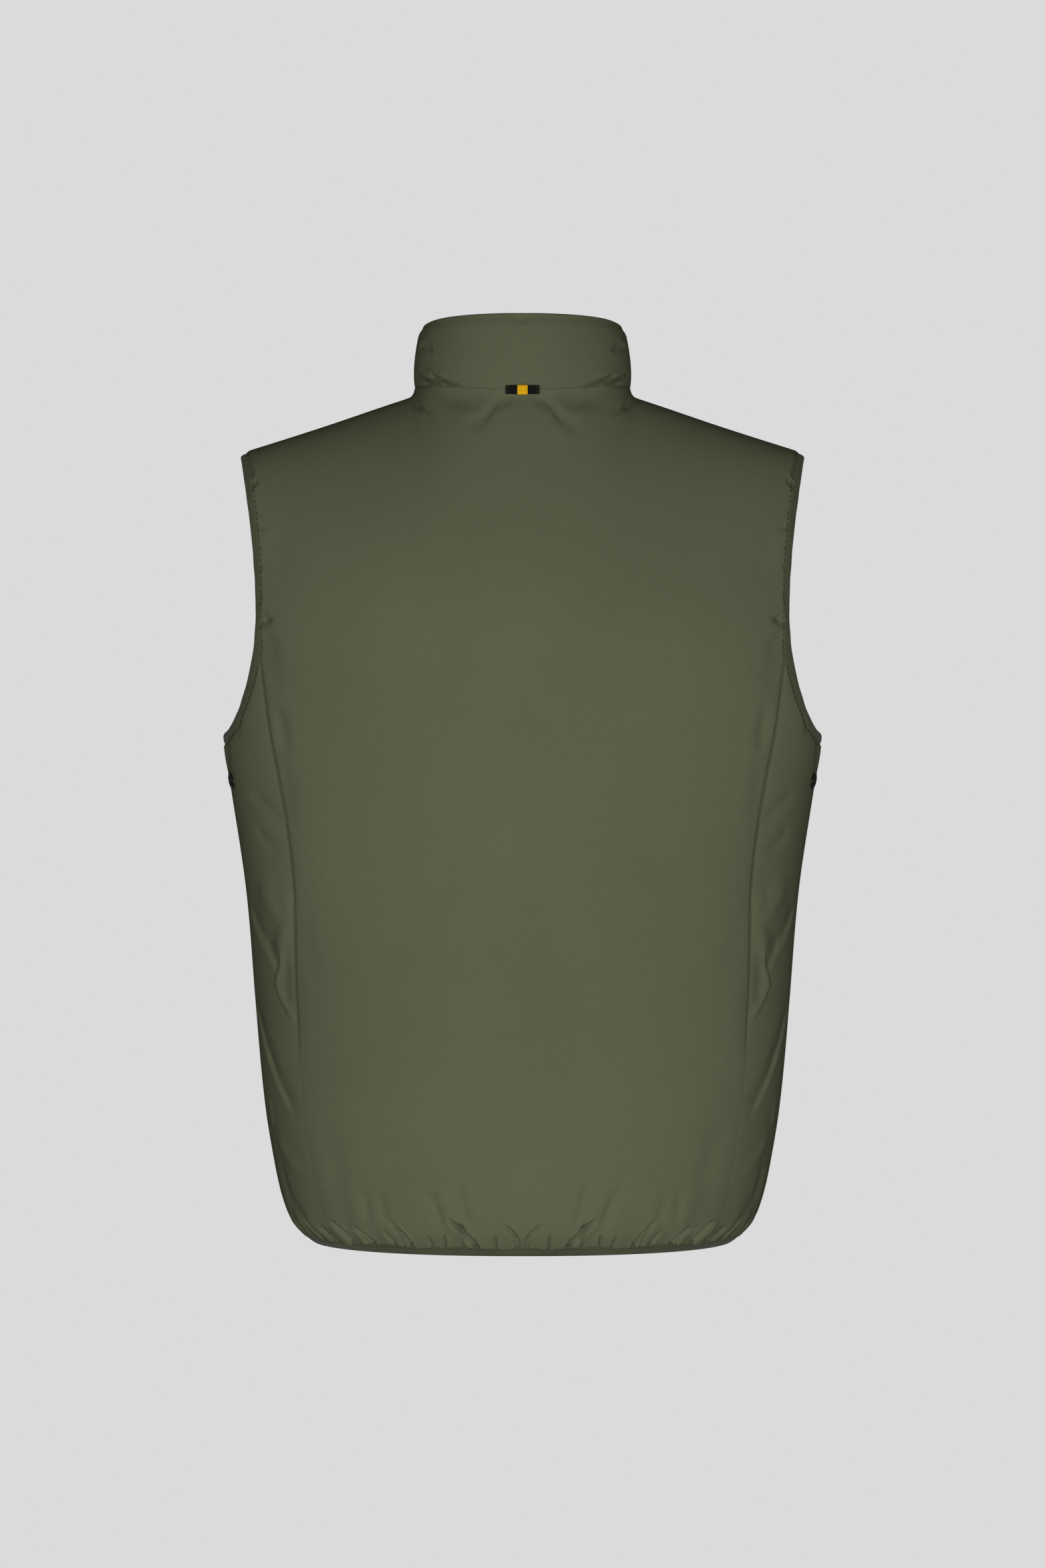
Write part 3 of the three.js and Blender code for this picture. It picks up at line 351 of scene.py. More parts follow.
def makePiece(name, points, faces, uv, material):
    mesh = bpy.data.meshes.new(name)
    mesh.from_pydata((points * mm).tolist(), [], faces)
    bm = bmesh.new()
    bm.from_mesh(mesh)
    if bm.calc_volume(signed=True) < 0:
        bmesh.ops.reverse_faces(bm, faces=bm.faces)
    bm.to_mesh(mesh)
    bm.free()
    if uv is not None:
        corner = np.zeros(len(mesh.loops), int)
        mesh.loops.foreach_get("vertex_index", corner)
        layer = mesh.uv_layers.new(name="cloth")
        layer.data.foreach_set("uv", (uv[corner] * mm).ravel().astype(np.float32))
    piece = bpy.data.objects.new(name, mesh)
    scene.collection.objects.link(piece)
    mesh.materials.append(material)
    smoothShade(piece, 46)
    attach(piece, "vest")
    return piece


def onlyThis(piece):
    bpy.ops.object.select_all(action="DESELECT")
    piece.select_set(True)
    bpy.context.view_layer.objects.active = piece


def smoothShade(piece, degrees):
    onlyThis(piece)
    bpy.ops.object.shade_smooth_by_angle(angle=math.radians(degrees))
    piece.select_set(False)


def replacePadded(cadNode):
    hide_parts(cadNode)


def replaceSheet(cadNode):  # cut, the width that the strip is woven to, is not used: this only hides the CAD part
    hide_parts(cadNode)


# A closed wall. The inner side has every third place of the outer one.
def closedWall(name, outer, inner, uv, material, slot):
    rows, cols = outer.shape[:2]
    at = np.arange(rows * cols).reshape(rows, cols)
    under = rows * cols + np.arange(inner.shape[0] * inner.shape[1]).reshape(inner.shape[:2])
    faces = quadsOf(at) + quadsOf(under[:, ::-1])
    edges = [(at[0], under[0]), (at[:, -1], under[:, -1])]
    edges += [(at[-1, ::-1], under[-1, ::-1]), (at[::-1, 0], under[::-1, 0])]
    for fine, coarse in edges:
        step = (len(fine) - 1) // (len(coarse) - 1)
        for k in range(len(coarse) - 1):
            strip = fine[k * step:(k + 1) * step + 1][::-1]
            faces.append([*map(int, strip), int(coarse[k]), int(coarse[k + 1])])
    points = np.concatenate([outer.reshape(-1, 3), inner.reshape(-1, 3)])
    uvInner = uv[::3, ::3][: inner.shape[0], : inner.shape[1]]
    allUv = np.concatenate([uv.reshape(-1, 2), uvInner.reshape(-1, 2)])
    return makePiece(name, points, faces, allUv, material)


def spread(first, last, count, crowd):  # places between two ends, closer together at both
    t = np.linspace(0, 1, count + 1)
    return mix(first, last, t - crowd * np.sin(2 * math.pi * t) / (2 * math.pi))


# Materials. Colours are as they look, and become linear here.
def linear(red, green, blue):
    shares = [c / 255 for c in (red, green, blue)]
    return tuple(c / 12.92 if c < 10.3 / 255 else ((c + 0.055) / 1.055) ** 2.4 for c in shares) + (1,)


def fillInputs(tree, made, values):  # by a socket's label or number, with another socket or a constant
    for key, value in values.items():
        if hasattr(value, "is_output") and value.is_output:
            tree.links.new(value, made.inputs[key])
        else:
            made.inputs[key].default_value = value


def node(tree, kind, settings=None, **inputs):  # i0 is the first input by number
    made = tree.nodes.new(kind)
    for key, value in (settings or {}).items():
        setattr(made, key, value)
    fillInputs(tree, made, {int(key[1:]) if key[1:].isdigit() else key.replace("_", " "): value
                            for key, value in inputs.items()})
    return made


def mathNode(tree, operation, a, b=0.0):
    return node(tree, "ShaderNodeMath", {"operation": operation}, i0=a, i1=b).outputs[0]


def newGroup(name, inputs, outputs):  # an input's default gives its kind, and None is a vector
    tree = bpy.data.node_groups.new(name, "ShaderNodeTree")
    for label, value in inputs.items():
        kind = "Vector" if value is None else "Color" if isinstance(value, tuple) else "Float"
        socket = tree.interface.new_socket(name=label, in_out="INPUT", socket_type="NodeSocket" + kind)
        if value is not None:
            socket.default_value = value
    for label in outputs:
        kind = "Color" if label == "Color" else "Float"
        tree.interface.new_socket(name=label, in_out="OUTPUT", socket_type="NodeSocket" + kind)
    return tree, tree.nodes.new("NodeGroupInput"), tree.nodes.new("NodeGroupOutput")


# Threads that pass over and under each other, on a map in metres.
def weaveGroup():
    tree, given, result = newGroup("threadWeave", {"Map": None, "Across": 1400, "Along": 1400, "Lean": 0},
                                   ["Height", "Shade"])
    place = node(tree, "ShaderNodeSeparateXYZ", i0=given.outputs["Map"])
    leaned = mathNode(tree, "MULTIPLY", place.outputs[0], given.outputs["Lean"])
    alongPlace = mathNode(tree, "ADD", place.outputs[1], leaned)
    warp = mathNode(tree, "SINE", mathNode(tree, "MULTIPLY", place.outputs[0], given.outputs["Across"]))
    weft = mathNode(tree, "SINE", mathNode(tree, "MULTIPLY", alongPlace, given.outputs["Along"]))
    crossed = mathNode(tree, "MULTIPLY", warp, weft)
    slub = node(tree, "ShaderNodeTexNoise", Vector=given.outputs["Map"], Scale=900.0, Detail=2.0).outputs[0]
    height = mathNode(tree, "ADD", mathNode(tree, "MULTIPLY", crossed, 0.35), slub)
    shade = mathNode(tree, "MULTIPLY_ADD", crossed, 0.5)
    shade.node.inputs[2].default_value = 0.5
    fillInputs(tree, result, {"Height": height, "Shade": shade})
    return tree


# Slow drifts of tone over a piece, with a finer mottle in them.
def toneGroup():
    tree, given, result = newGroup(
        "clothTone",
        {"Place": None, "Pale": (0.1, 0.1, 0.1, 1), "Deep": (0.05, 0.05, 0.05, 1), "Size": 9, "Rough": 0.6,
         "Rough Change": 0.08},
        ["Color", "Roughness"],
    )
    place, size = given.outputs["Place"], given.outputs["Size"]
    broad = node(tree, "ShaderNodeTexNoise", Vector=place, Scale=size, Detail=3.0)
    fineSize = mathNode(tree, "MULTIPLY", size, 23.0)
    fine = node(tree, "ShaderNodeTexNoise", Vector=place, Scale=fineSize, Detail=4.0)
    drift = mathNode(tree, "ADD", mathNode(tree, "MULTIPLY", broad.outputs[0], 0.7),
                     mathNode(tree, "MULTIPLY", fine.outputs[0], 0.3))
    spreadOut = node(tree, "ShaderNodeMapRange", i0=drift, i1=0.35, i2=0.65)
    tint = node(tree, "ShaderNodeMix", {"data_type": "RGBA"}, i0=spreadOut.outputs[0],
                i6=given.outputs["Deep"], i7=given.outputs["Pale"])
    off = mathNode(tree, "SUBTRACT", fine.outputs[0], 0.5)
    change = mathNode(tree, "MULTIPLY", off, given.outputs["Rough Change"])
    rough = mathNode(tree, "ADD", given.outputs["Rough"], change)
    fillInputs(tree, result, {"Color": tint.outputs[2], "Roughness": rough})
    return tree


threadWeave = weaveGroup()
clothTone = toneGroup()


def newMaterial(name):
    material = bpy.data.materials.new(name)
    material.use_nodes = True
    tree = material.node_tree
    return material, tree, tree.nodes["Principled BSDF"], node(tree, "ShaderNodeTexCoord")


def useGroup(tree, group, **inputs):
    return node(tree, "ShaderNodeGroup", {"node_tree": group}, **inputs)


def finishMaterial(tree, shader, sockets, bump, thick, constants):  # sockets are colour, roughness and height
    colour, rough, height = sockets
    raised = node(tree, "ShaderNodeBump", Strength=bump, Distance=thick * mm, Height=height)
    fillInputs(tree, shader, {"Base Color": colour, "Roughness": rough, "Normal": raised.outputs[0]})
    fillInputs(tree, shader, constants)


def toned(tree, where, pale, deep, look):
    return useGroup(tree, clothTone, Place=where.outputs["Object"], Pale=linear(*pale), Deep=linear(*deep),
                    Size=look["drift"], Rough=look["rough"], Rough_Change=0.1)


def finishWoven(tree, shader, where, colour, rough, look):
    weave = useGroup(tree, threadWeave, Map=where.outputs["UV"], Across=look["across"], Along=look["along"],
                     Lean=look["lean"])
    shaded = node(tree, "ShaderNodeMix", {"data_type": "RGBA", "blend_type": "MULTIPLY"},
                  i0=look["threadShade"], i6=colour, i7=weave.outputs["Shade"])
    sockets = (shaded.outputs[2], rough, weave.outputs["Height"])
    finishMaterial(tree, shader, sockets, look["bump"], look["thread"],
                   {"Sheen Weight": look["sheen"], "Specular IOR Level": look["specular"]})


def clothMaterial(name, look):
    material, tree, shader, where = newMaterial(name)
    tone = toned(tree, where, look["pale"], look["deep"], look)
    finishWoven(tree, shader, where, tone.outputs["Color"], tone.outputs["Roughness"], look)
    return material


looks = {
    "oliveShellCloth": {
        "pale": (95, 99, 75), "deep": (90, 94, 71), "drift": 7, "rough": 0.74, "across": 9000, "along": 9000,
        "lean": 0, "threadShade": 0.05, "bump": 0.12, "thread": 0.2, "sheen": 0.0, "specular": 0.12,
    },
    "oliveRibbedElastic": {
        "pale": (84, 86, 62), "deep": (74, 76, 55), "drift": 30, "rough": 0.85, "across": 4200, "along": 5200,
        "lean": 0, "threadShade": 0.3, "bump": 0.6, "thread": 0.5, "sheen": 0.1, "specular": 0.2,
    },
    "oliveZipTape": {
        "pale": (76, 80, 60), "deep": (68, 72, 54), "drift": 25, "rough": 0.8, "across": 5200, "along": 5200,
        "lean": 1, "threadShade": 0.25, "bump": 0.5, "thread": 0.4, "sheen": 0.05, "specular": 0.25,
    },
    "darkOliveThread": {
        "pale": (40, 42, 30), "deep": (34, 36, 26), "drift": 60, "rough": 0.7, "across": 9000, "along": 9000,
        "lean": 1, "threadShade": 0.2, "bump": 0.3, "thread": 0.2, "sheen": 0.0, "specular": 0.3,
    },
}
shellCloth, elasticCloth, tapeCloth, sewingThread = (
    clothMaterial(name, look) for name, look in looks.items()
)
print("cloth materials ready")

# Shell panels: how finely they are laid out, and how they dip to their seams.
shell = {
    "wall": 6.5,
    "edge": 2.4,  # where the padding is caught in a seam
    "thinnest": 0.9,
    "dipReach": 7,
    "caughtReach": 9,
    "dips": {"side": 1.9, "shoulder": 1.0, "neck": 1.9, "armhole": 0.9, "hem": 0.3, "zip": 1.6},
    "sideFade": {"from": 0.29, "over": 0.1, "left": 0.12},  # the side seam's dip fades out below this height
    "groove": {"deep": 0.9, "reach": 1.3},  # the sharp fold in at a seam's thread
    "sidePanelDip": 0.25,  # the side panel stays higher at the seam than the back does
    # the back is pressed in below the collar
    "underCollar": {"deep": 6.6, "reach": 9, "start": 2, "inset": 6, "fade": 26},
    # the armhole edge rolls out over its binding
    "overBinding": {"far": 2.6, "reach": 14, "from": 0.98, "over": 0.16},
    "lip": {"drop": [0, 0.5, 0.9, 1.0, 0.75, 0.3], "under": [1.9, 1.4, 0.8, 0.3, 0.1, 0.0]},
    "fill": 0.3,
}


def dipTo(depth, distance):
    return depth * np.exp(-distance / shell["dipReach"])


def wallDepth(full, caught):  # from the skin to the inner side, less where the padding is caught
    dip = shell["dips"]["side"]
    return mix(full - dip, shell["edge"], caught) + dip


def lowerRows(count):  # heights above the hem seam up to the join, closer together low down
    t = np.linspace(0, 1, count + 1)
    return mix(0.8, panelHigh, 0.45 * t + 0.55 * t * t)


def bodyHeights(lower, upper):  # the lip's rows at the hem, then the ring rows, then the columns
    lip = [0.0] * len(shell["lip"]["drop"])
    rows = np.concatenate([lip, lowerRows(lower) / panelHigh])
    if upper:
        t = np.linspace(0, 1, upper + 1)[1:]
        rows = np.concatenate([rows, 1 + 0.72 * t + 0.28 * (1 - (1 - t) ** 2)])
    return rows


# The panels' lower edge hangs over the hem binding in long uneven scallops.
scallop = {"high": 2.3, "least": 0.5, "length": 56, "first": 20}


def overhang(across):
    wave = 0.5 + 0.5 * np.cos(2 * math.pi * (np.abs(across) - scallop["first"]) / scallop["length"])
    small = 0.12 * np.sin(across / 4.1) + 0.1 * np.sin(across / 7.3 + 1)
    return scallop["least"] + scallop["high"] * np.clip(wave + small, 0, 1.2)


# Shares across a panel, closer together at its edges and where its top turns round the neck corner.
spacing = {"widest": 1.5, "edge": 0.9, "edgeGrowth": 0.06, "corner": 0.08, "inside": 0.4, "outside": 0.3}


def shellShares(first, last, count, side):
    t = np.linspace(first, last, 4001)
    out = mix(innerEdge[side], shoulder["tipOut"], np.abs(t))
    off = out - neck["halfWidth"]
    inside = spacing["corner"] + spacing["inside"] * np.sqrt(np.abs(off))
    outside = spacing["corner"] + spacing["outside"] * np.abs(off)
    apart = np.minimum(np.where(off < 0, inside, outside), spacing["widest"])
    fromEdge = np.minimum(last - t, t - first) * shoulder["tipOut"]
    dense = 1 / np.minimum(apart, spacing["edge"] + spacing["edgeGrowth"] * fromEdge)
    total = np.concatenate([[0], np.cumsum((dense[1:] + dense[:-1]) / 2)])
    return np.interp(np.linspace(0, total[-1], count + 1), total, t)


# Lays a padded body panel out as a closed wall.
def shellPanel(skin, shares, heights, top, lift, caught, acrossOf, firstShare):
    share, height = np.meshgrid(shares, heights)
    lipRows = len(shell["lip"]["drop"])
    lowEdge = skin(share[:1], height[:1])
    over = overhang(acrossOf(share[:1], lowEdge))
    height[:lipRows] = -np.array(shell["lip"]["drop"])[:, None] * over / panelHigh
    p = skin(share, height)
    normal = skinNormal(skin, share, height, firstShare, top) if skin is not sideSkin else ringNormal(p)
    depth = wallDepth(shell["wall"], caught(share, height))
    raised = np.maximum(lift(share, height, p), shell["thinnest"] - depth)
    if top == 2:
        roll = shell["overBinding"]
        fromEdge = (1 - np.abs(share)) * float(seamOut(body["join"]))
        rolled = roll["far"] * np.exp(-fromEdge / roll["reach"])
        p[..., 0] += np.sign(share) * (rolled * soften((height - roll["from"]) / roll["over"]))
    if skin is backSkin:
        press = shell["underCollar"]
        below = np.maximum(0, 2 - height) * shoulder["column"]
        inside = soften((neck["halfWidth"] - press["inset"] - np.abs(p[..., 0])) / press["fade"])
        inside *= np.exp(-below / press["reach"]) - np.exp(-below / press["start"])
        p -= normal * (press["deep"] * inside)[..., None]
    for row in range(lipRows):
        raised[row] = raised[lipRows] - shell["lip"]["under"][row]
    outer = p + normal * raised[..., None]
    p[:lipRows] = lowEdge
    inner = (p - normal * depth[..., None])[::3, ::3]
    along = pathFar(p[:, len(shares) // 2])
    uv = np.stack([p[..., 0] if skin is not sideSkin else share * sideSeam["reach"],
                   np.broadcast_to(along[:, None], share.shape)], axis=-1)
    return outer, inner, uv


def edgeDip(depth, fromEdge):
    groove = shell["groove"]
    return dipTo(depth, fromEdge) + groove["deep"] * np.exp(-(fromEdge / groove["reach"]) ** 2)


def sideSeamDip(fromEdge, height):
    fade = shell["sideFade"]
    kept = mix(fade["left"], 1, soften((height - fade["from"]) / fade["over"]))
    return kept * edgeDip(shell["dips"]["side"], fromEdge)


def seamDips(part, height, width, side):
    fromEdge = (1 - part) * width
    upper = np.maximum(0, 2 - height) * shoulder["column"]
    atNeck = soften((neck["halfWidth"] + 6 - mix(innerEdge[side], shoulder["tipOut"], part)) / 12)
    dips = shell["dips"]
    pastJoin = soften((height - 0.96) / 0.08)
    edge = mix(sideSeamDip(fromEdge, height), edgeDip(dips["armhole"], fromEdge), pastJoin)
    head = mix(dipTo(dips["shoulder"], upper), edgeDip(dips["neck"], upper), atNeck)
    return np.maximum(np.maximum(edge, head), dipTo(dips["hem"], height * panelHigh))


def caughtNear(*distances):  # how far the padding is caught, by the nearest edge
    return np.exp(-np.minimum.reduce(np.broadcast_arrays(*distances)) / shell["caughtReach"])


def caughtAt(part, height, width):
    return caughtNear((1 - part) * width, (2 - height) * shoulder["column"], height * panelHigh)


joinOut = float(seamOut(body["join"]))
bodyRows = bodyHeights(180, 81)


# Back panel. Its creases are the same on both sides: place from the centre, and level.
backCreases = [
    # drawn in by the hem elastic, from the corner to the centre
    (147, -645, 139, -652, 1.7, -2, 0, 0.6), (144, -636, 128, -651, 2.5, -4.4, 0.8, 0.35),
    (126, -639, 109, -653, 2.3, -4.2, 0.6, 0.35), (121, -646, 115, -653, 1.3, -2, 0, 0.6),
    (104, -641, 95, -652, 1.7, -2.6, 0.4, 0.5), (98, -634, 81, -653, 2.3, -4.9, 0.8, 0.33),
    (92, -640, 88, -653, 1.6, -2.4, -0.6, 0.5), (53, -631, 31, -653, 2.3, -4.9, 0.8, 0.33),
    (48, -632, 41, -647, 2.6, -2.6, 1, 0.5), (14, -634, 2, -650, 1.9, -2.3, 2.5, 0.5),
    (59, -643, 59, -652, 1.4, -2), (46, -641, 45, -652, 1.4, -2), (36, -644, 35, -652, 1.3, -1.8),
    (21, -642, 20, -652, 1.4, -2), (71, -644, 68, -652, 1.4, -1.6), (6, -646, 3, -652, 1.3, -1.6),
    # soft shadows above them
    (108, -614, 102, -636, 4.5, -1), (119, -612, 117, -634, 4, -0.8),
    (74, -606, 60, -638, 5.5, -1.1, 1, 0.7), (49, -604, 41, -634, 4.5, -1.2), (68, -606, 61, -634, 4, -0.6),
    (19, -560, 8, -584, 6, -0.6, 2), (132, -604, 120, -640, 6, 0.5), (150, -560, 138, -612, 9, -0.8, 2),
    # down the side seam
    (187, -244, 181, -277, 5.5, -1.6, 1), (182, -288, 176, -330, 7, -0.9), (168, -400, 160, -446, 9, -0.7),
    # puckers at the armhole stitching, and the dimples beside them
    (206, -170, 199, -158, 2.6, -2.4, 0, 0.6), (207, -182, 189, -175, 3.4, -3.8, 0, 0.4),
    (199, -184, 187, -204, 8, -1.3, 0, 0.7), (206, -132, 196, -139, 2.1, -1.6, 0, 0.5),
    (206, -104, 195, -107, 2.4, -1.6), (206, -119, 199, -124, 1.9, -1.2), (206, -143, 199, -147, 1.8, -1.2),
    (206, -194, 197, -200, 2.1, -1.5, 0, 0.5), (206, -91, 200, -95, 1.8, -1),
    (213, -50, 206, -64, 2.6, -1.7, 1, 0.6), (212, -78, 203, -66, 2.4, -1.5, -1, 0.6),
    (209, -60, 204, -72, 2, -1.1), (201, -196, 186, -232, 8, -1, 1.5), (190, -110, 180, -150, 12, -0.6),
    # below the neck loop and at the neck corners
    (12, -5, 30, -24, 4.6, -1.9, -1.5, 0.7), (26, -20, 42, -31, 5.5, -1.3), (8, -6, 18, -17, 2.4, -1.1),
    (58, -8, 32, -14, 5, -1.2, 1), (83, -8, 70, -17, 3, -1.5, 0, 0.6), (85, -4, 79, -14, 2.6, -1.2),
]


def backLift(share, height, p):
    across = np.abs(p[..., 0])
    lift = creaseLift(backCreases, across, p[..., 2]) + softUneven(across, p[..., 2], 1, 0.5)
    lift += gatherLift(share, height, 15, 0.6, 0.5)
    return lift - seamDips(np.abs(share), height, joinOut, "back")


def backCaught(share, height):
    return caughtAt(np.abs(share), height, joinOut)


def placeAcross(share, p):
    return p[..., 0]


backTrim = -seamLap / 2 / joinOut
backShares = shellShares(-1 + backTrim, 1 - backTrim, 300, "back")
backWall = shellPanel(backSkin, backShares, bodyRows, 2, backLift, backCaught, placeAcross, -1)
backPanel = closedWall("back_cloth", *backWall, shellCloth, "shell_cloth")
replacePadded("back_panel")
print("back panel laid out")

# Fronts: plainer, with the gathers at the hem and soft folds towards the armholes.
frontCreases = [
    (30, -640, 22, -653, 2.6, -1.3, 1, 0.6), (44, -642, 42, -653, 2.2, -1.1),
    (66, -636, 50, -653, 3, -1.9, 1.5, 0.6), (80, -642, 76, -653, 2.2, -1.1),
    (102, -637, 88, -653, 3, -1.7, 1, 0.6), (118, -641, 108, -653, 2.5, -1.3, 1),
    (136, -640, 126, -652, 2.6, -1.5, 1, 0.6), (74, -594, 56, -634, 7, -1.3, 2, 0.7),
    (108, -600, 96, -634, 6, -1.1), (34, -584, 26, -624, 8, -1, 2), (150, -560, 134, -612, 9, -1.2, 2),
    (190, -240, 176, -284, 7, -1.6, 2), (198, -190, 176, -226, 7, -1.6, 2),
    (196, -158, 170, -186, 6, -1.2, 2, 0.7), (203, -140, 194, -146, 2.4, -1),
    (203, -170, 193, -174, 2.4, -1.3), (203, -104, 195, -105, 2.4, -0.9), (88, -22, 100, -64, 6, -1.2, 3),
    (36, -90, 22, -112, 5, -0.9, 2), (17, -180, 24, -196, 3, -0.7), (16, -330, 25, -343, 3, -0.7),
    (16, -470, 26, -488, 3, -0.8), (16, -560, 25, -574, 3, -0.7),
]
frontWidth = joinOut - innerEdge["front"]


def frontLift(share, height, p):
    lift = creaseLift(frontCreases, p[..., 0], p[..., 2]) + softUneven(p[..., 0], p[..., 2], 3, 0.6)
    lift += gatherLift(share, height, 14, 1.9, 1.1)
    beside = dipTo(shell["dips"]["zip"], share * frontWidth)
    return lift - np.maximum(seamDips(share, height, frontWidth, "front"), beside)


def frontCaught(share, height):
    return np.maximum(caughtAt(share, height, frontWidth), caughtNear(share * frontWidth))


frontShares = shellShares(seamGap / 2 / frontWidth, 1 + seamLap / 2 / joinOut, 135, "front")
frontWall = shellPanel(frontSkin, frontShares, bodyRows, 2, frontLift, frontCaught, placeAcross, 0)

# Side panels: place from the middle, positive to the back, and level.
sideCreases = [
    # a hollow with one sharp edge, and the soft bulge beside the back seam that ends it
    (23, -398, 47, -428, 10, -1.7, 1, 0.24), (44, -421, 58, -444, 9, -1.5, 0, 0.26),
    (44, -378, 66, -408, 11, 1.8, 2, 0.7), (68, -408, 58, -438, 6, 1.3, 1), (64, -386, 71, -402, 4, 0.9),
    # the small lens below it
    (62, -429, 55, -456, 3.2, 1, -1, 0.6), (55, -456, 70, -482, 3.2, 1.1, 1, 0.6),
    (65, -440, 65, -468, 5, -0.9),
    # the second hollow
    (20, -478, 41, -519, 9, -1.6, 0, 0.24), (37, -512, 62, -553, 8, -1.5, 0, 0.26),
    (30, -545, 29, -566, 3.4, 0.7), (37, -574, 57, -598, 6, 0.9, 1), (50, -310, 71, -331, 5, -1.2),
    (48, -338, 64, -354, 5, -1.1, 1),
    # drawn in by the hem
    (50, -636, 60, -650, 3, -2, 1, 0.6), (66, -640, 71, -651, 2.4, -1.3), (30, -638, 36, -651, 2.8, -1.5),
    (10, -640, 12, -652, 2.8, -1.3), (34, -596, 46, -634, 6, -1.2, 2), (-14, -638, -16, -651, 2.8, -1.5),
    (-36, -640, -42, -651, 2.8, -1.5), (-58, -638, -64, -651, 2.8, -1.5),
    # similar ones on the half that faces forward
    (-20, -388, -58, -432, 4.8, -2.2, -3, 0.7), (-48, -350, -66, -396, 11, 1.7, -3),
    (-18, -486, -52, -540, 4, 1.4, -2, 0.7), (-30, -556, -52, -590, 6, 1.1, -1),
    (-50, -318, -68, -330, 5, 1.2),
    # drawn in under the arm
    (26, -262, 20, -292, 4, -1), (-24, -262, -18, -290, 4, -1), (50, -236, 44, -264, 4, -1, 1),
]


def sideLift(share, height, p):
    across = share * sideSeam["reach"]
    fromEdge = (1 - np.abs(share)) * sideSeam["reach"]
    dips = shell["dips"]
    atSeam = shell["sidePanelDip"] * sideSeamDip(fromEdge, height)
    dip = np.maximum(atSeam, edgeDip(dips["armhole"], (1 - height) * panelHigh))
    lift = creaseLift(sideCreases, across, p[..., 2]) + softUneven(across, p[..., 2], 5, 0.6)
    lift += gatherLift(share, height, 7, 3.1, 1.1)
    return lift - np.maximum(dip, dipTo(dips["hem"], height * panelHigh))


def sideCaught(share, height):
    return caughtNear((1 - np.abs(share)) * sideSeam["reach"], (1 - height) * panelHigh, height * panelHigh)


sideTrim = -seamLap / 2 / sideSeam["reach"]
sideShares = spread(-1 + sideTrim, 1 - sideTrim, 126, 0.2)
sideRows = bodyHeights(240, 0)
sideRows[-1] = 1
sideWall = shellPanel(sideSkin, sideShares, sideRows, 1, sideLift, sideCaught,
                      lambda share, p: share * sideSeam["reach"], -1)

for label, wall, cadNode in (("front_cloth_", frontWall, "front_"), ("side_cloth_", sideWall, "side_panel_")):
    for way, flip in bothWays.items():
        panel = closedWall(label + way, wall[0] * flip, wall[1] * flip, wall[2], shellCloth, "shell_cloth")
        replacePadded(cadNode + way)
print("fronts and side panels laid out")

# Collar: creases by degrees round from the centre back, and height above its seam.
collarLook = {
    "rows": 45, "turns": 342, "foot": 0.0095, "degrees": 172.8, "bulge": 1.2, "seamDip": 1.4, "fill": 0.35,
    "lap": 1.5,  # how far its inner side reaches down inside the neck edge
    # rounder where the top turns to the side
    "corner": {"at": 90, "reach": 40, "in": 0.9, "down": 0.9, "from": 0.78},
    # thinner at the top, and folded over there
    "crown": {"dip": 1.5, "from": 0.8, "thin": 0.62, "thinFrom": 0.78},
    "crownOut": [-0.5, -1.3, -2.3], "crownUp": [0.7, 1.2, 1.35], "crownInside": (0.9, 0.7),
}
collarCreases = [
    (72, 36, 57, 30, 3.6, -1.7, 1.5, 0.8), (76, 39, 64, 37, 5, 0.7, 1),
    (78, 12, 62, 6, 2.4, -2.2, -0.6, 0.5), (66, 8, 47, 0.5, 2.2, -3, -0.8, 0.45),
    (56, 9.5, 45, 5, 2.2, -2.8, -0.5, 0.45), (47, 6, 33, 0.5, 2, -2.8, -0.6, 0.45), (60, 13, 45, 8, 3, 1),
    (4, 57, 0, 50, 3.4, -0.8), (18, 3, 10, 0, 2.2, -0.7), (118, 36, 102, 24, 5, -1.2, 2),
    (118, 10, 98, 0, 3, -1.4, 1, 0.7), (140, 8, 124, 0, 3, -1.2, 1), (150, 40, 132, 22, 5, -1.2, 2),
    (162, 14, 150, 2, 3, -1),
]


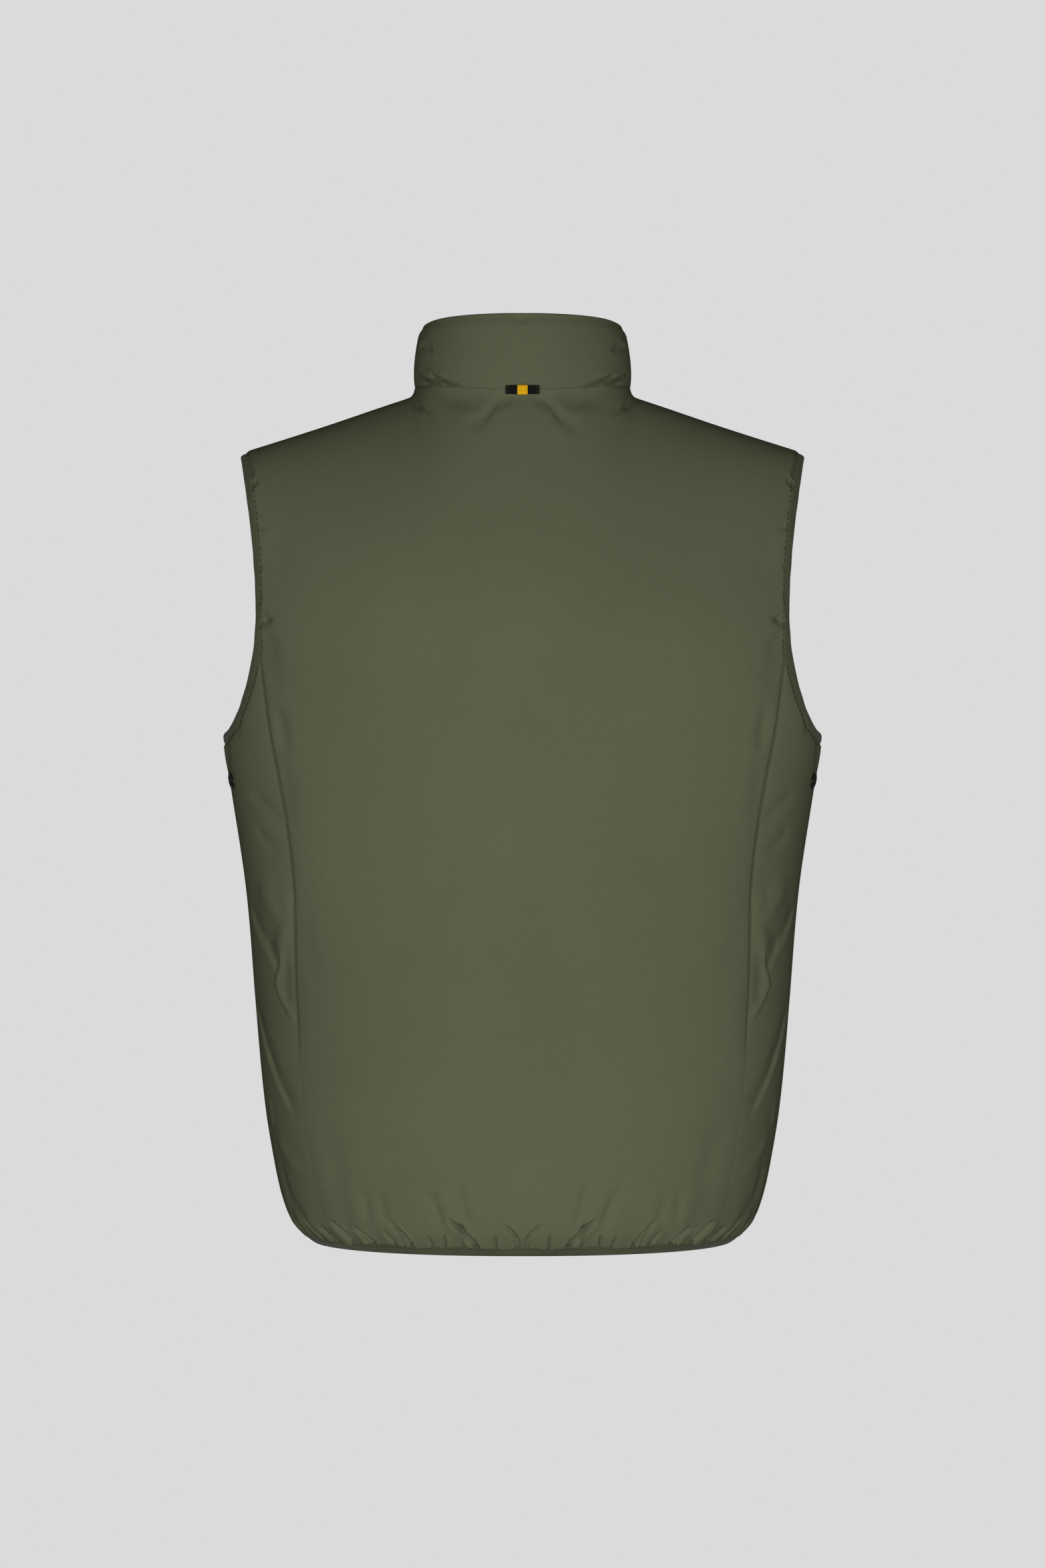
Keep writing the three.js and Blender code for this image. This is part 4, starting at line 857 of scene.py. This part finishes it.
def collarWall():
    edge = seamGap / 2 / collar["round"]
    heights = np.concatenate([np.linspace(collarLook["foot"], 1, collarLook["rows"] + 1), [1.0] * 3])
    share, height = np.meshgrid(spread(-1 + edge, 1 - edge, collarLook["turns"], 0.1), heights)
    p = collarSkin(share, height)
    normal = skinNormal(collarSkin, share, height, -1, 1)
    degrees = np.abs(share) * collarLook["degrees"]
    corner, crown = collarLook["corner"], collarLook["crown"]
    turned = soften(1 - np.abs(degrees - corner["at"]) / corner["reach"])
    turned *= soften((height - corner["from"]) / (1 - corner["from"])) ** 1.5
    p -= normal * (corner["in"] * turned)[..., None]
    p[..., 2] -= corner["down"] * turned
    above, fromEnd = height * collar["high"], (1 - np.abs(share)) * collar["round"]
    lift = creaseLift(collarCreases, degrees, above) + softUneven(share * collar["round"], above, 7, 0.35)
    lift += collarLook["bulge"] * np.sin(math.pi * np.minimum(1, height * 1.1))
    seams = np.maximum(dipTo(collarLook["seamDip"], above), dipTo(shell["dips"]["zip"], fromEnd))
    lift -= seams + crown["dip"] * soften((height - crown["from"]) / (1 - crown["from"])) ** 2
    thinTop = crown["thin"] * soften((height - crown["thinFrom"]) / (1 - crown["thinFrom"])) ** 2
    caught = np.maximum(thinTop, caughtNear(above, fromEnd))
    deep = wallDepth(collar["wall"], caught)
    outer = p + normal * np.maximum(lift, shell["thinnest"] - deep)[..., None]
    inner = (p - normal * deep[..., None])[:-3]
    inner[0, :, 2] -= collarLook["lap"]
    for k in range(3):  # over the folded top edge
        outer[-3 + k] += normal[-3 + k] * collarLook["crownOut"][k]
        outer[-3 + k, :, 2] += collarLook["crownUp"][k]
    uv = np.stack([share * collar["round"], above], axis=-1)
    outward, upward = collarLook["crownInside"]
    over = inner[-1] + normal[-1] * outward + np.array([0, 0, upward])
    return outer, np.concatenate([inner[::3], over[None]])[:, ::3], uv


collarParts = collarWall()
collarPiece = closedWall("collar_cloth", *collarParts, shellCloth, "shell_cloth")
replacePadded("collar")
print("collar laid out")


# Bands: one section swept along a line of places, each with its two directions.
def ovalSection(wide, thick, sides, square):  # begins at the hidden side
    a = 2 * math.pi * (np.arange(sides) + 0.5) / sides - math.pi / 2
    c, s = np.cos(a), np.sin(a)
    x, y = (np.sign(v) * np.abs(v) ** square for v in (c, s))
    return np.stack([wide / 2 * x, thick / 2 * y], axis=-1)


def sweepBand(name, at, across, out, section, closed, material):
    count, sides = len(at), section.shape[-2]
    section = np.broadcast_to(section, (count, sides, 2))
    points = at[:, None] + across[:, None] * section[..., :1] + out[:, None] * section[..., 1:]
    place = np.arange(count * sides).reshape(count, sides)
    place = np.concatenate([place, place[:, :1]], axis=1)
    if closed:
        place = np.concatenate([place, place[:1]], axis=0)
    faces = quadsOf(place)
    if not closed:
        faces += [place[0, :-1][::-1].tolist(), place[-1, :-1].tolist()]
    along = pathFar(at)
    uv = np.stack(np.broadcast_arrays(along[:, None], pathFar(section[0])[None]), axis=-1).reshape(-1, 2)
    return makePiece(name, points.reshape(-1, 3), faces, uv, material), float(along[-1])


def eased(v, times):  # each direction round a closed line, drawn towards its neighbours
    for _ in range(times):
        v = (np.roll(v, 1, axis=0) + 2 * v + np.roll(v, -1, axis=0)) / 4
    return v


armBinding = {"wide": 8.8, "thick": 3.6, "outer": 8.0, "out": -2.8, "sides": 14, "square": 1.0,
              "pucker": 0.28, "cut": 11}


def armholeLine():  # once round the armhole, with the directions out of the cloth and off its edge
    rise = bodyRows[bodyRows >= 1]
    one, inset = np.ones_like(rise), 0.985
    share = np.linspace(-0.96, 0.96, 57)
    top = np.ones_like(share)
    parts = [
        (backSkin(one, rise), skinNormal(backSkin, one, rise, -1, 2), backSkin(one * inset, rise)),
        (frontSkin(one, rise), skinNormal(frontSkin, one, rise, 0, 2), frontSkin(one * inset, rise)),
        (sideSkin(share, top), ringNormal(sideSkin(share, top)), sideSkin(share, top * inset)),
    ]
    parts[1] = [v[::-1][1:] for v in parts[1]]
    at, out, inward = (np.concatenate([part[k] for part in parts]) for k in range(3))
    half = len(at) // 2
    at, out, across = (np.roll(v, -half, axis=0) for v in (at, out, unit(at - inward)))
    along = unit(np.roll(at, -1, axis=0) - np.roll(at, 1, axis=0))
    out = unit(squareTo(eased(out, 6), along))
    across = unit(squareTo(squareTo(eased(across, 6), along), out))
    return at, across, out


def armholeBinding():
    at, across, out = armholeLine()
    far = pathFar(at)
    wave = armBinding["pucker"] * (np.sin(far / 4.3) + 0.7 * np.sin(far / 2.9 + 1) + 0.6 * np.sin(far / 11))
    middle = at + across * (armBinding["outer"] - armBinding["wide"] / 2)
    middle += out * (armBinding["out"] + 0.5 * wave[:, None])
    section = ovalSection(armBinding["wide"], armBinding["thick"], armBinding["sides"], armBinding["square"])
    for way, flip in bothWays.items():
        piece, long = sweepBand("armhole_elastic_" + way, middle * flip, across * flip, out * flip, section,
                                True, elasticCloth)
        replaceSheet("armhole_binding_" + way)


armholeBinding()

hemBand = {"endOut": 10.2, "halfWidth": 166, "high": 8.8, "thick": 3.8, "out": -2.7, "sides": 18,
           "square": 0.75, "places": 300, "cut": 12}


def hemBinding():
    first = math.acos((hemBand["endOut"] / hemBand["halfWidth"]) ** (body["roundness"] / 2))
    turn = np.linspace(-first, math.pi + first, hemBand["places"] + 1)
    wrapped = np.where(turn > math.pi, turn - 2 * math.pi, turn)
    foot, middle, top = (ringPoint(body["hem"] + hemBand["high"] * part + 0 * turn, wrapped)
                         for part in (0, 0.5, 1))
    out = ringNormal(top)
    section = ovalSection(hemBand["high"], hemBand["thick"], hemBand["sides"], hemBand["square"])
    across = (top - foot) / hemBand["high"]
    piece, long = sweepBand("hem_elastic", middle + out * hemBand["out"], across, out, section, False,
                            elasticCloth)
    replaceSheet("hem_binding")
    return middle + out * (hemBand["out"] + hemBand["thick"] / 2), across, out


hemLine = hemBinding()
print("bindings swept")

# The loop at the neck seam: black tape with a yellow band in its middle.
loop = {
    "wide": 25.4, "high": 6.6, "thick": 1.8, "bow": 1.5, "off": 0.55, "below": 1, "places": 50, "sides": 16,
    "square": 0.6, "cut": 10,
    "band": 3.9, "bandEnd": 0.4, "bandEase": 0.6, "bandHigher": 0.8, "bandThicker": 0.18,
    "black": (8, 8, 7), "blackWorn": (15, 15, 13), "yellow": (244, 188, 14), "yellowDeep": (224, 166, 8),
}
loopLook = {"drift": 150.0, "rough": 0.72, "across": 6000, "along": 6000, "lean": 1, "threadShade": 0.25,
            "bump": 0.5, "thread": 0.3, "sheen": 0.0, "specular": 0.12}


def loopMaterial():
    material, tree, shader, where = newMaterial("bandedLoopTape")
    place = node(tree, "ShaderNodeSeparateXYZ", i0=where.outputs["Object"])
    fromMiddle = mathNode(tree, "ABSOLUTE", place.outputs[0])
    inBand = mathNode(tree, "LESS_THAN", fromMiddle, loop["band"] * mm)
    black, yellow = (toned(tree, where, loop[pale], loop[deep], loopLook)
                     for pale, deep in (("blackWorn", "black"), ("yellow", "yellowDeep")))
    colour = node(tree, "ShaderNodeMix", {"data_type": "RGBA"}, i0=inBand, i6=black.outputs["Color"],
                  i7=yellow.outputs["Color"])
    finishWoven(tree, shader, where, colour.outputs[2], black.outputs["Roughness"], loopLook)
    return material


def neckLoop():
    x = np.linspace(-1, 1, loop["places"] + 1) * loop["wide"] / 2
    onNeck = neckPoint(np.arcsin(np.abs(x) / neck["halfWidth"]))
    bow = loop["bow"] * (1 - (2 * x / loop["wide"]) ** 2) + loop["off"]
    at = xyz(x, onNeck[:, 1] + bow, onNeck[:, 2] - loop["below"])
    out = unit(xyz(x / neck["halfWidth"], 1, 0))
    inBand = soften((loop["band"] + loop["bandEnd"] - np.abs(x)) / loop["bandEase"])[:, None, None]
    section = ovalSection(loop["high"], loop["thick"], loop["sides"], loop["square"])
    higher, thicker = 1 + inBand * loop["bandHigher"] / loop["high"], 1 + loop["bandThicker"] * inBand
    section = section * np.concatenate([higher, thicker], axis=-1)
    piece, long = sweepBand("neck_loop_tape", at, xyz(0, 0, 1 + 0 * x), out, section, False,
                            loopMaterial())
    replaceSheet("neck_loop")
    return at, out


loopLine = neckLoop()


# The zip's own line up the centre front, as the part has it.
def curveThrough(points, fine):  # a centripetal spline through its points
    ends = [2 * points[0] - points[1], *points, 2 * points[-1] - points[-2]]
    made = []
    for corners in zip(ends, ends[1:], ends[2:], ends[3:]):
        steps = [np.linalg.norm(q - p) ** 0.5 for p, q in zip(corners, corners[1:])]
        t = np.concatenate([[0], np.cumsum(steps)])
        s = np.linspace(t[1], t[2], fine, endpoint=False)[:, None]

        def between(p, q, first, last):
            return p * (t[last] - s) / (t[last] - t[first]) + q * (s - t[first]) / (t[last] - t[first])

        ab, bc, cd = (between(corners[k], corners[k + 1], k, k + 1) for k in range(3))
        made.append(between(between(ab, bc, 0, 2), between(bc, cd, 1, 3), 1, 2))
    return np.concatenate([*made, [points[-1]]])


def zipCourse():
    lower = frontSkin(np.zeros(24), np.arange(1, 25) / 24)
    upper = frontSkin(np.zeros(7), 1 + np.arange(1, 8) / 8)
    collarEnd = collarSkin(np.ones(7), np.linspace(0.08, 0.97, 7))
    foot = ringPointAt(np.array([body["hem"]]), np.array([0.0]), "front")
    points = np.concatenate([foot, lower, upper, collarEnd])
    points[:, 0] = 0
    return curveThrough(points, 14)


course = zipCourse()
courseFar = pathFar(course)
zipLong = float(courseFar[-1])


def onZip(far):  # places on the zip by distance from its foot, with the directions there
    before, at, after = (readPath(course, courseFar, d)
                         for d in (np.maximum(far - 2, 0), far, np.minimum(far + 2, zipLong)))
    along = unit(after - before)
    across = np.broadcast_to(np.array([1.0, 0, 0]), along.shape)
    out = unit(np.cross(along, across))
    out = np.where(out[:, 1:2] > 0, -out, out)
    return at - out * zipLine["sunk"], across, out, along


# Half of each tape's section, from behind the teeth to the edge that is sewn under the front. Below the
# slider the tapes meet behind the teeth, and above it they part. Their tops are cut aslant, so that no
# corner stands out above the collar.
zipTape = {
    "half": [[0.3, -0.25], [2.7, -0.3], [3.4, -0.95], [4.1, -0.9], [4.6, -0.55], [12.3, -0.6]],
    "first": 0.0005, "places": 240, "topLong": 8, "topOuter": 9.8, "apart": 2.9, "partOver": 3, "cut": 12,
}


def zipTapes():
    far = np.linspace(zipTape["first"] * zipLong, zipLong, zipTape["places"])
    at, across, out, _ = onZip(far)
    profile = np.array(zipTape["half"] + [[x, -y] for x, y in zipTape["half"][::-1]])
    top = soften((far - zipLong + zipTape["topLong"]) / zipTape["topLong"])[:, None]
    parted = soften((far - zipLine["sliderAt"] * zipLong) / zipTape["partOver"])[:, None]
    wide = mix(profile[:, 0], np.minimum(profile[:, 0], zipTape["topOuter"]), top)
    wide = np.maximum(wide, zipTape["apart"] * parted)
    section = np.stack(np.broadcast_arrays(wide, profile[:, 1]), axis=-1)
    for way, flip in bothWays.items():
        piece, long = sweepBand("zip_tape_cloth_" + way, at, across, out, section * flip[:2], False,
                                tapeCloth)
        replaceSheet("zip_tape_" + way)


zipTapes()
print("loop and zip tapes swept")


# Hard pieces. Finishes first: paint that has worn a little, and moulded plastic.
def wornGroup():
    tree, given, result = newGroup(
        "paintWear",
        {"Place": None, "Paint": (0.02, 0.02, 0.02, 1), "Under": (0.3, 0.3, 0.3, 1), "Wear": 0.6,
         "Rough": 0.35},
        ["Color", "Roughness", "Height"],
    )
    broad = node(tree, "ShaderNodeTexNoise", Vector=given.outputs["Place"], Scale=420.0, Detail=5.0)
    fine = node(tree, "ShaderNodeTexNoise", Vector=given.outputs["Place"], Scale=2600.0, Detail=2.0)
    mask = node(tree, "ShaderNodeMapRange", i0=broad.outputs[0], i1=given.outputs["Wear"], i2=0.8)
    tint = node(tree, "ShaderNodeMix", {"data_type": "RGBA"}, i0=mask.outputs[0], i6=given.outputs["Paint"],
                i7=given.outputs["Under"])
    change = mathNode(tree, "MULTIPLY", mathNode(tree, "SUBTRACT", fine.outputs[0], 0.5), 0.3)
    rough = mathNode(tree, "ADD", given.outputs["Rough"], change)
    fillInputs(tree, result, {"Color": tint.outputs[2], "Roughness": rough, "Height": fine.outputs[0]})
    return tree


paintWear = wornGroup()


def hardMaterial(name, look):
    material, tree, shader, where = newMaterial(name)
    worn = useGroup(tree, paintWear, Place=where.outputs["Object"], Paint=linear(*look["paint"]),
                    Under=linear(*look["under"]), Wear=look["wear"], Rough=look["rough"])
    sockets = [worn.outputs[label] for label in ("Color", "Roughness", "Height")]
    finishMaterial(tree, shader, sockets, look["bump"], 0.05,
                   {"Metallic": look["metal"], "Coat Weight": look["coat"]})
    return material


hardLooks = {
    "metal": {"paint": (50, 51, 47), "under": (120, 120, 112), "wear": 0.66, "rough": 0.42, "bump": 0.2,
              "metal": 0.6, "coat": 0.1},
    "teeth": {"paint": (48, 51, 39), "under": (70, 73, 56), "wear": 0.5, "rough": 0.55, "bump": 0.15,
              "metal": 0.0, "coat": 0.0},
    "ring": {"paint": (14, 14, 12), "under": (40, 40, 37), "wear": 0.62, "rough": 0.4, "bump": 0.2,
             "metal": 0.3, "coat": 0.2},
}
zipMetal = hardMaterial("darkPaintedZipMetal", hardLooks["metal"])
toothPlastic = hardMaterial("oliveMouldedTeeth", hardLooks["teeth"])
ringPaint = hardMaterial("blackPaintedEyelet", hardLooks["ring"])


def applyModifier(piece, kind, settings):
    onlyThis(piece)
    modifier = piece.modifiers.new(kind.lower(), kind)
    for key, value in settings.items():
        setattr(modifier, key, value)
    bpy.ops.object.modifier_apply(modifier=modifier.name)


def editMesh(piece, *steps):  # each step is an operator and its settings
    onlyThis(piece)
    bpy.ops.object.mode_set(mode="EDIT")
    bpy.ops.mesh.select_all(action="SELECT")
    for operator, settings in steps:
        operator(**settings)
    bpy.ops.object.mode_set(mode="OBJECT")


# A CAD piece with its loose triangles joined, coplanar ones melted and its corners eased.
def easedCopy(source, name, bodyName, corner):
    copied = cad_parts[source].copy()
    copied.data = copied.data.copy()
    copied.parent = None
    copied.hide_render = False
    copied.name = name
    for key in list(copied.keys()):
        del copied[key]
    scene.collection.objects.link(copied)
    editMesh(copied, (bpy.ops.mesh.remove_doubles, {"threshold": 0.00002}),
             (bpy.ops.mesh.dissolve_limited, {"angle_limit": math.radians(2)}))
    applyModifier(copied, "BEVEL", {"width": corner * mm, "segments": 2, "limit_method": "ANGLE",
                                    "angle_limit": math.radians(35)})
    copied.data.materials.clear()
    copied.data.materials.append(zipMetal)
    smoothShade(copied, 35)
    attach(copied, bodyName)
    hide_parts(source)


easedCopy("zip_slider", "slider_body", "vest", 0.18)
easedCopy("zip_pull", "slider_pull", "pull", 0.25)
easedCopy("zip_box", "zip_end_box", "vest", 0.35)


# One shape modelled once, and copied to many places in one mesh.
def repeatShape(name, shape, at, along, across, out, material):
    points, faces = shape
    count = len(points)
    placed = (at[:, None] + across[:, None] * points[None, :, :1] + out[:, None] * points[None, :, 1:2]
              + along[:, None] * points[None, :, 2:])
    allFaces = [[v + k * count for v in face] for k in range(len(at)) for face in faces]
    return makePiece(name, placed.reshape(-1, 3), allFaces, None, material)


def takeShape(piece):  # a small model's points in millimetres, and its faces
    points = np.array([tuple(v.co) for v in piece.data.vertices])
    faces = [list(p.vertices) for p in piece.data.polygons]
    bpy.data.objects.remove(piece, do_unlink=True)
    return points, faces


def newBlock(size, middle=(0, 0, 0)):
    bpy.ops.object.select_all(action="DESELECT")
    bpy.ops.mesh.primitive_cube_add(size=1, location=middle, scale=size)
    bpy.ops.object.transform_apply(location=True, rotation=True, scale=True)
    return bpy.context.object


tooth = {"across": (-1.25, 2.55), "thick": 2.4, "long": 1.02, "pitch": 2.6, "corner": 0.26, "neck": 0.72,
         "neckFrom": 1.6}


def toothShape():
    inner, outer = tooth["across"]
    made = newBlock((outer - inner, tooth["thick"], tooth["long"]), ((inner + outer) / 2, 0, 0))
    editMesh(made, (bpy.ops.mesh.bevel, {"offset": tooth["corner"], "segments": 1, "affect": "EDGES"}))
    for v in made.data.vertices:  # narrower where it leaves the tape
        if v.co.x > tooth["neckFrom"]:
            v.co.z *= tooth["neck"]
    return takeShape(made)


def zipTeeth():  # those of the two sides take turns
    points, faces = toothShape()
    boxTop = zipLine["boxFrom"] * zipLong + zipLine["boxLong"]
    underSlider = zipLine["sliderAt"] * zipLong + zipLine["sliderLong"] / 2 - zipLine["sliderMouth"]
    far = np.arange(boxTop + seamGap + tooth["long"] / 2, underSlider - 2 * seamGap - tooth["long"] / 2,
                    tooth["pitch"] / 2)
    mirroredFaces = [face[::-1] for face in faces]
    for way, side, first, shown in (("left", 1, 0, faces), ("right", -1, 1, mirroredFaces)):
        at, across, out, along = onZip(far[first::2])
        piece = repeatShape("zip_teeth_" + way, (points, shown), at, along, across * side, out, toothPlastic)
        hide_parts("zip_chain")


zipTeeth()

topStop = {"size": (2.4, 2.6, 3.0), "corner": 0.6, "out": 3.4}


def topStops():
    stop = newBlock(topStop["size"])
    applyModifier(stop, "BEVEL", {"width": topStop["corner"], "segments": 3})
    shape = takeShape(stop)
    at, across, out, along = onZip(np.array([zipLine["sliderAt"] * zipLong + zipLine["stopAbove"]]))
    for way, flip in bothWays.items():
        made = repeatShape("zip_stop_" + way, shape, at + across * flip[0] * topStop["out"], along, across,
                           out, zipMetal)
        smoothShade(made, 40)


topStops()
print("zip modelled")


# Eyelets: a rolled ring on the side panel's outer face.
eyelet = {"outer": 6.6, "hole": 2.9, "turn": 0.19, "level": -300, "around": 48, "sides": 14, "front": 0.62,
          "back": 0.12, "rise": 0.55}


def eyeletShape():
    bpy.ops.object.select_all(action="DESELECT")
    bpy.ops.mesh.primitive_torus_add(major_radius=(eyelet["outer"] + eyelet["hole"]) / 2,
                                     minor_radius=(eyelet["outer"] - eyelet["hole"]) / 2,
                                     major_segments=eyelet["around"], minor_segments=eyelet["sides"])
    ring = bpy.context.object
    for v in ring.data.vertices:  # flattened, with a flat back against the cloth
        v.co.z *= eyelet["front"] if v.co.z > 0 else eyelet["back"]
    editMesh(ring, (bpy.ops.mesh.normals_make_consistent, {"inside": False}))
    return takeShape(ring)


def eyelets():
    level, turn = np.array([eyelet["level"]]), np.array([eyelet["turn"]])
    up = unit(ringPoint(level + 2, turn) - ringPoint(level - 2, turn))
    aside = unit(ringPoint(level, turn + 0.02) - ringPoint(level, turn - 0.02))
    out = unit(np.cross(aside, up))
    out *= np.sign(out[:, :1])
    at = ringPoint(level, turn) + out * eyelet["rise"]
    points, faces = eyeletShape()
    for way, flip in bothWays.items():
        piece = repeatShape("eyelet_ring_" + way, (points[:, [0, 2, 1]], faces), at * flip, up * flip,
                            aside * flip, out * flip, ringPaint)
        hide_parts("eyelet_" + way)


eyelets()

# Sewing: every stitch is a short thread that sinks into the cloth at both ends.
sewing = {
    "thick": 0.7, "bend": 0.35, "armhole": {"pitch": 5.0, "long": 3.2, "in": 2.0},
    "zip": {"pitch": 3.6, "long": 2.6, "in": 5.5}, "hem": {"pitch": 3.4, "long": 2.3, "up": 1.6},
    "tack": {"pitch": 0.95, "long": 2.0, "each": 6, "column": 3, "out": 0.98, "lean": 0.25},
}


def threadShape(long):
    bpy.ops.object.select_all(action="DESELECT")
    bpy.ops.mesh.primitive_uv_sphere_add(segments=6, ring_count=6, radius=1)
    stitch = bpy.context.object
    for v in stitch.data.vertices:  # round in the middle, bent down at the ends
        v.co.z *= long / 2
        v.co.x *= sewing["thick"] / 2
        v.co.y = v.co.y * sewing["thick"] / 2 - sewing["bend"] * (2 * v.co.z / long) ** 2
    return takeShape(stitch)


def stitchesAlong(line, out, pitch):  # places for stitches, evenly along a line of points
    far = pathFar(line)
    place = np.arange(pitch / 2, far[-1], pitch)
    before, at, after = (readPath(line, far, d)
                         for d in (np.maximum(place - 1, 0), place, np.minimum(place + 1, far[-1])))
    along = unit(after - before)
    up = unit(squareTo(readPath(out, far, place), along))
    return at, along, unit(np.cross(up, along)), up


def sewSeam(name, lines, kind, low=0.05, paired=True):
    shape = threadShape(sewing[kind]["long"])
    for way, flip in bothWays.items() if paired else (("", bothWays["left"]),):
        parts = [stitchesAlong(line * flip, out * flip, sewing[kind]["pitch"]) for line, out in lines]
        at, along, across, out = (np.concatenate([part[k] for part in parts]) for k in range(4))
        label = name + "_" + way if paired else name
        repeatShape(label, shape, at + out * low, along, across, out, sewingThread)


def gridLine(grid, rows, columns):  # a line of a cloth's places, with the directions out of it
    normal = faceOutward(unit(np.cross(np.gradient(grid, axis=1), np.gradient(grid, axis=0))), grid)
    return grid[rows, columns], normal[rows, columns]


def columnNear(grid, row, fromEnd, distance):  # the column of a grid at a distance from one of its ends
    line = grid[row] if fromEnd == "first" else grid[row][::-1]
    at = int(np.argmin(np.abs(pathFar(line) - distance)))
    return at if fromEnd == "first" else len(line) - 1 - at


def sewArmholes():
    joinRow = int(np.argmax(bodyRows >= 1))
    inside = sewing["armhole"]["in"]
    lines = [gridLine(grid, slice(joinRow, -2), columnNear(grid, joinRow, "last", inside))
             for grid in (backWall[0], frontWall[0])]
    grid = sideWall[0]
    middle = grid.shape[1] // 2
    row = len(grid) - 1 - int(round(inside / np.linalg.norm(grid[-1, middle] - grid[-2, middle])))
    lines.append(gridLine(grid, row, slice(1, -1)))
    sewSeam("armhole_stitches", lines, "armhole")


def sewZip():
    inside = sewing["zip"]["in"]
    front, neckBand = frontWall[0], collarParts[0]
    lines = [gridLine(front, slice(8, -1), columnNear(front, 100, "first", inside)),
             gridLine(neckBand, slice(1, -4), columnNear(neckBand, 12, "last", inside))]
    sewSeam("zip_stitches", lines, "zip")


def sewHem():
    line, across, out = hemLine
    sewSeam("hem_stitches", [(line + across * sewing["hem"]["up"], out)], "hem", low=-0.05, paired=False)


def sewLoop():
    at, out = loopLine
    tack = sewing["tack"]
    places, ups, outs = [], [], []
    for end in (tack["column"], len(at) - 1 - tack["column"]):
        for k in range(tack["each"]):
            higher = (k - (tack["each"] - 1) / 2) * tack["pitch"]
            places.append(at[end] + np.array([0, 0, higher]) + out[end] * tack["out"])
            outs.append(out[end])
            ups.append(unit(np.array([1.0, 0, tack["lean"] * (-1) ** k])))
    places, ups, outs = np.array(places), np.array(ups), np.array(outs)
    ups = unit(squareTo(ups, outs))
    repeatShape("loop_tack", threadShape(tack["long"]), places, ups, np.cross(outs, ups), outs, sewingThread)


sewArmholes()
sewZip()
sewHem()
sewLoop()
print("sewing done")

# Camera, light and stage. The picture is 2352 high, and its long side is the sensor's 36 mm.
camera = {"away": 3.0, "level": -0.3026, "lens": 88.3, "sensor": 36}
light = {
    "behind": {"at": (0, 2.6, -0.6), "wide": 2.3, "high": 1.3, "power": 63},
    "ahead": {"at": (0, -3.6, -0.4), "wide": 0.9, "high": 0.9, "power": 100},
    "ambient": 0.085,
}
stage = {"floor": -1.35, "radius": 6.0, "cove": 1.2, "high": 5.0, "around": 96, "coveSteps": 12,
         "colour": (219, 219, 219), "glow": 1.0}


def placeCamera():
    made = bpy.data.objects.new("camera", bpy.data.cameras.new("camera"))
    made.data.lens = camera["lens"]
    made.data.sensor_width = camera["sensor"]
    made.location = (0, camera["away"], camera["level"])
    made.rotation_euler = (math.pi / 2, 0, math.pi)
    scene.collection.objects.link(made)
    scene.camera = made


def placeLight(name, settings, turn):
    data = bpy.data.lights.new(name, "AREA")
    data.shape, data.energy = "RECTANGLE", settings["power"]
    data.size, data.size_y = settings["wide"], settings["high"]
    made = bpy.data.objects.new(name, data)
    made.location = settings["at"]
    made.rotation_euler = (math.pi / 2, 0, turn)
    made.visible_camera = False
    scene.collection.objects.link(made)


def placeStage():
    floor, around = stage["floor"], stage["around"]
    rings = [(stage["radius"] - stage["cove"], floor)]
    for k in range(1, stage["coveSteps"] + 1):
        a = math.pi / 2 * k / stage["coveSteps"]
        inward, up = stage["cove"] * (1 - math.sin(a)), stage["cove"] * (1 - math.cos(a))
        rings.append((stage["radius"] - inward, floor + up))
    rings.append((stage["radius"], stage["high"]))
    turns = np.linspace(0, 2 * math.pi, around, endpoint=False)
    points = [(0, 0, floor)] + [(r * math.cos(a), r * math.sin(a), z) for r, z in rings for a in turns]
    following = [(k + 1) % around for k in range(around)]
    faces = [[0, 1 + k, 1 + following[k]] for k in range(around)]
    for low in range(1, 1 + around * (len(rings) - 1), around):
        high = low + around
        faces += [[low + following[k], high + following[k], high + k, low + k] for k in range(around)]
    mesh = bpy.data.meshes.new("pale_backdrop")
    mesh.from_pydata(points, [], faces)
    made = bpy.data.objects.new("pale_backdrop", mesh)
    scene.collection.objects.link(made)
    smoothShade(made, 60)
    material, tree, shader, _ = newMaterial("paleBackdrop")
    fillInputs(tree, shader, {"Base Color": (0, 0, 0, 1), "Roughness": 1.0, "Specular IOR Level": 0.0,
                              "Emission Color": linear(*stage["colour"]), "Emission Strength": stage["glow"]})
    mesh.materials.append(material)
    made.visible_diffuse = made.visible_glossy = made.visible_shadow = False


placeCamera()
placeLight("soft_behind", light["behind"], math.pi)
placeLight("soft_ahead", light["ahead"], 0)
placeStage()
world = bpy.data.worlds.new("even_room")
world.use_nodes = True
background = world.node_tree.nodes["Background"]
background.inputs["Strength"].default_value = light["ambient"]
background.inputs["Color"].default_value = (1, 1, 1, 1)
scene.world = world
scene.view_settings.view_transform = "Standard"
scene.view_settings.look = "None"
print("camera, light and stage set")
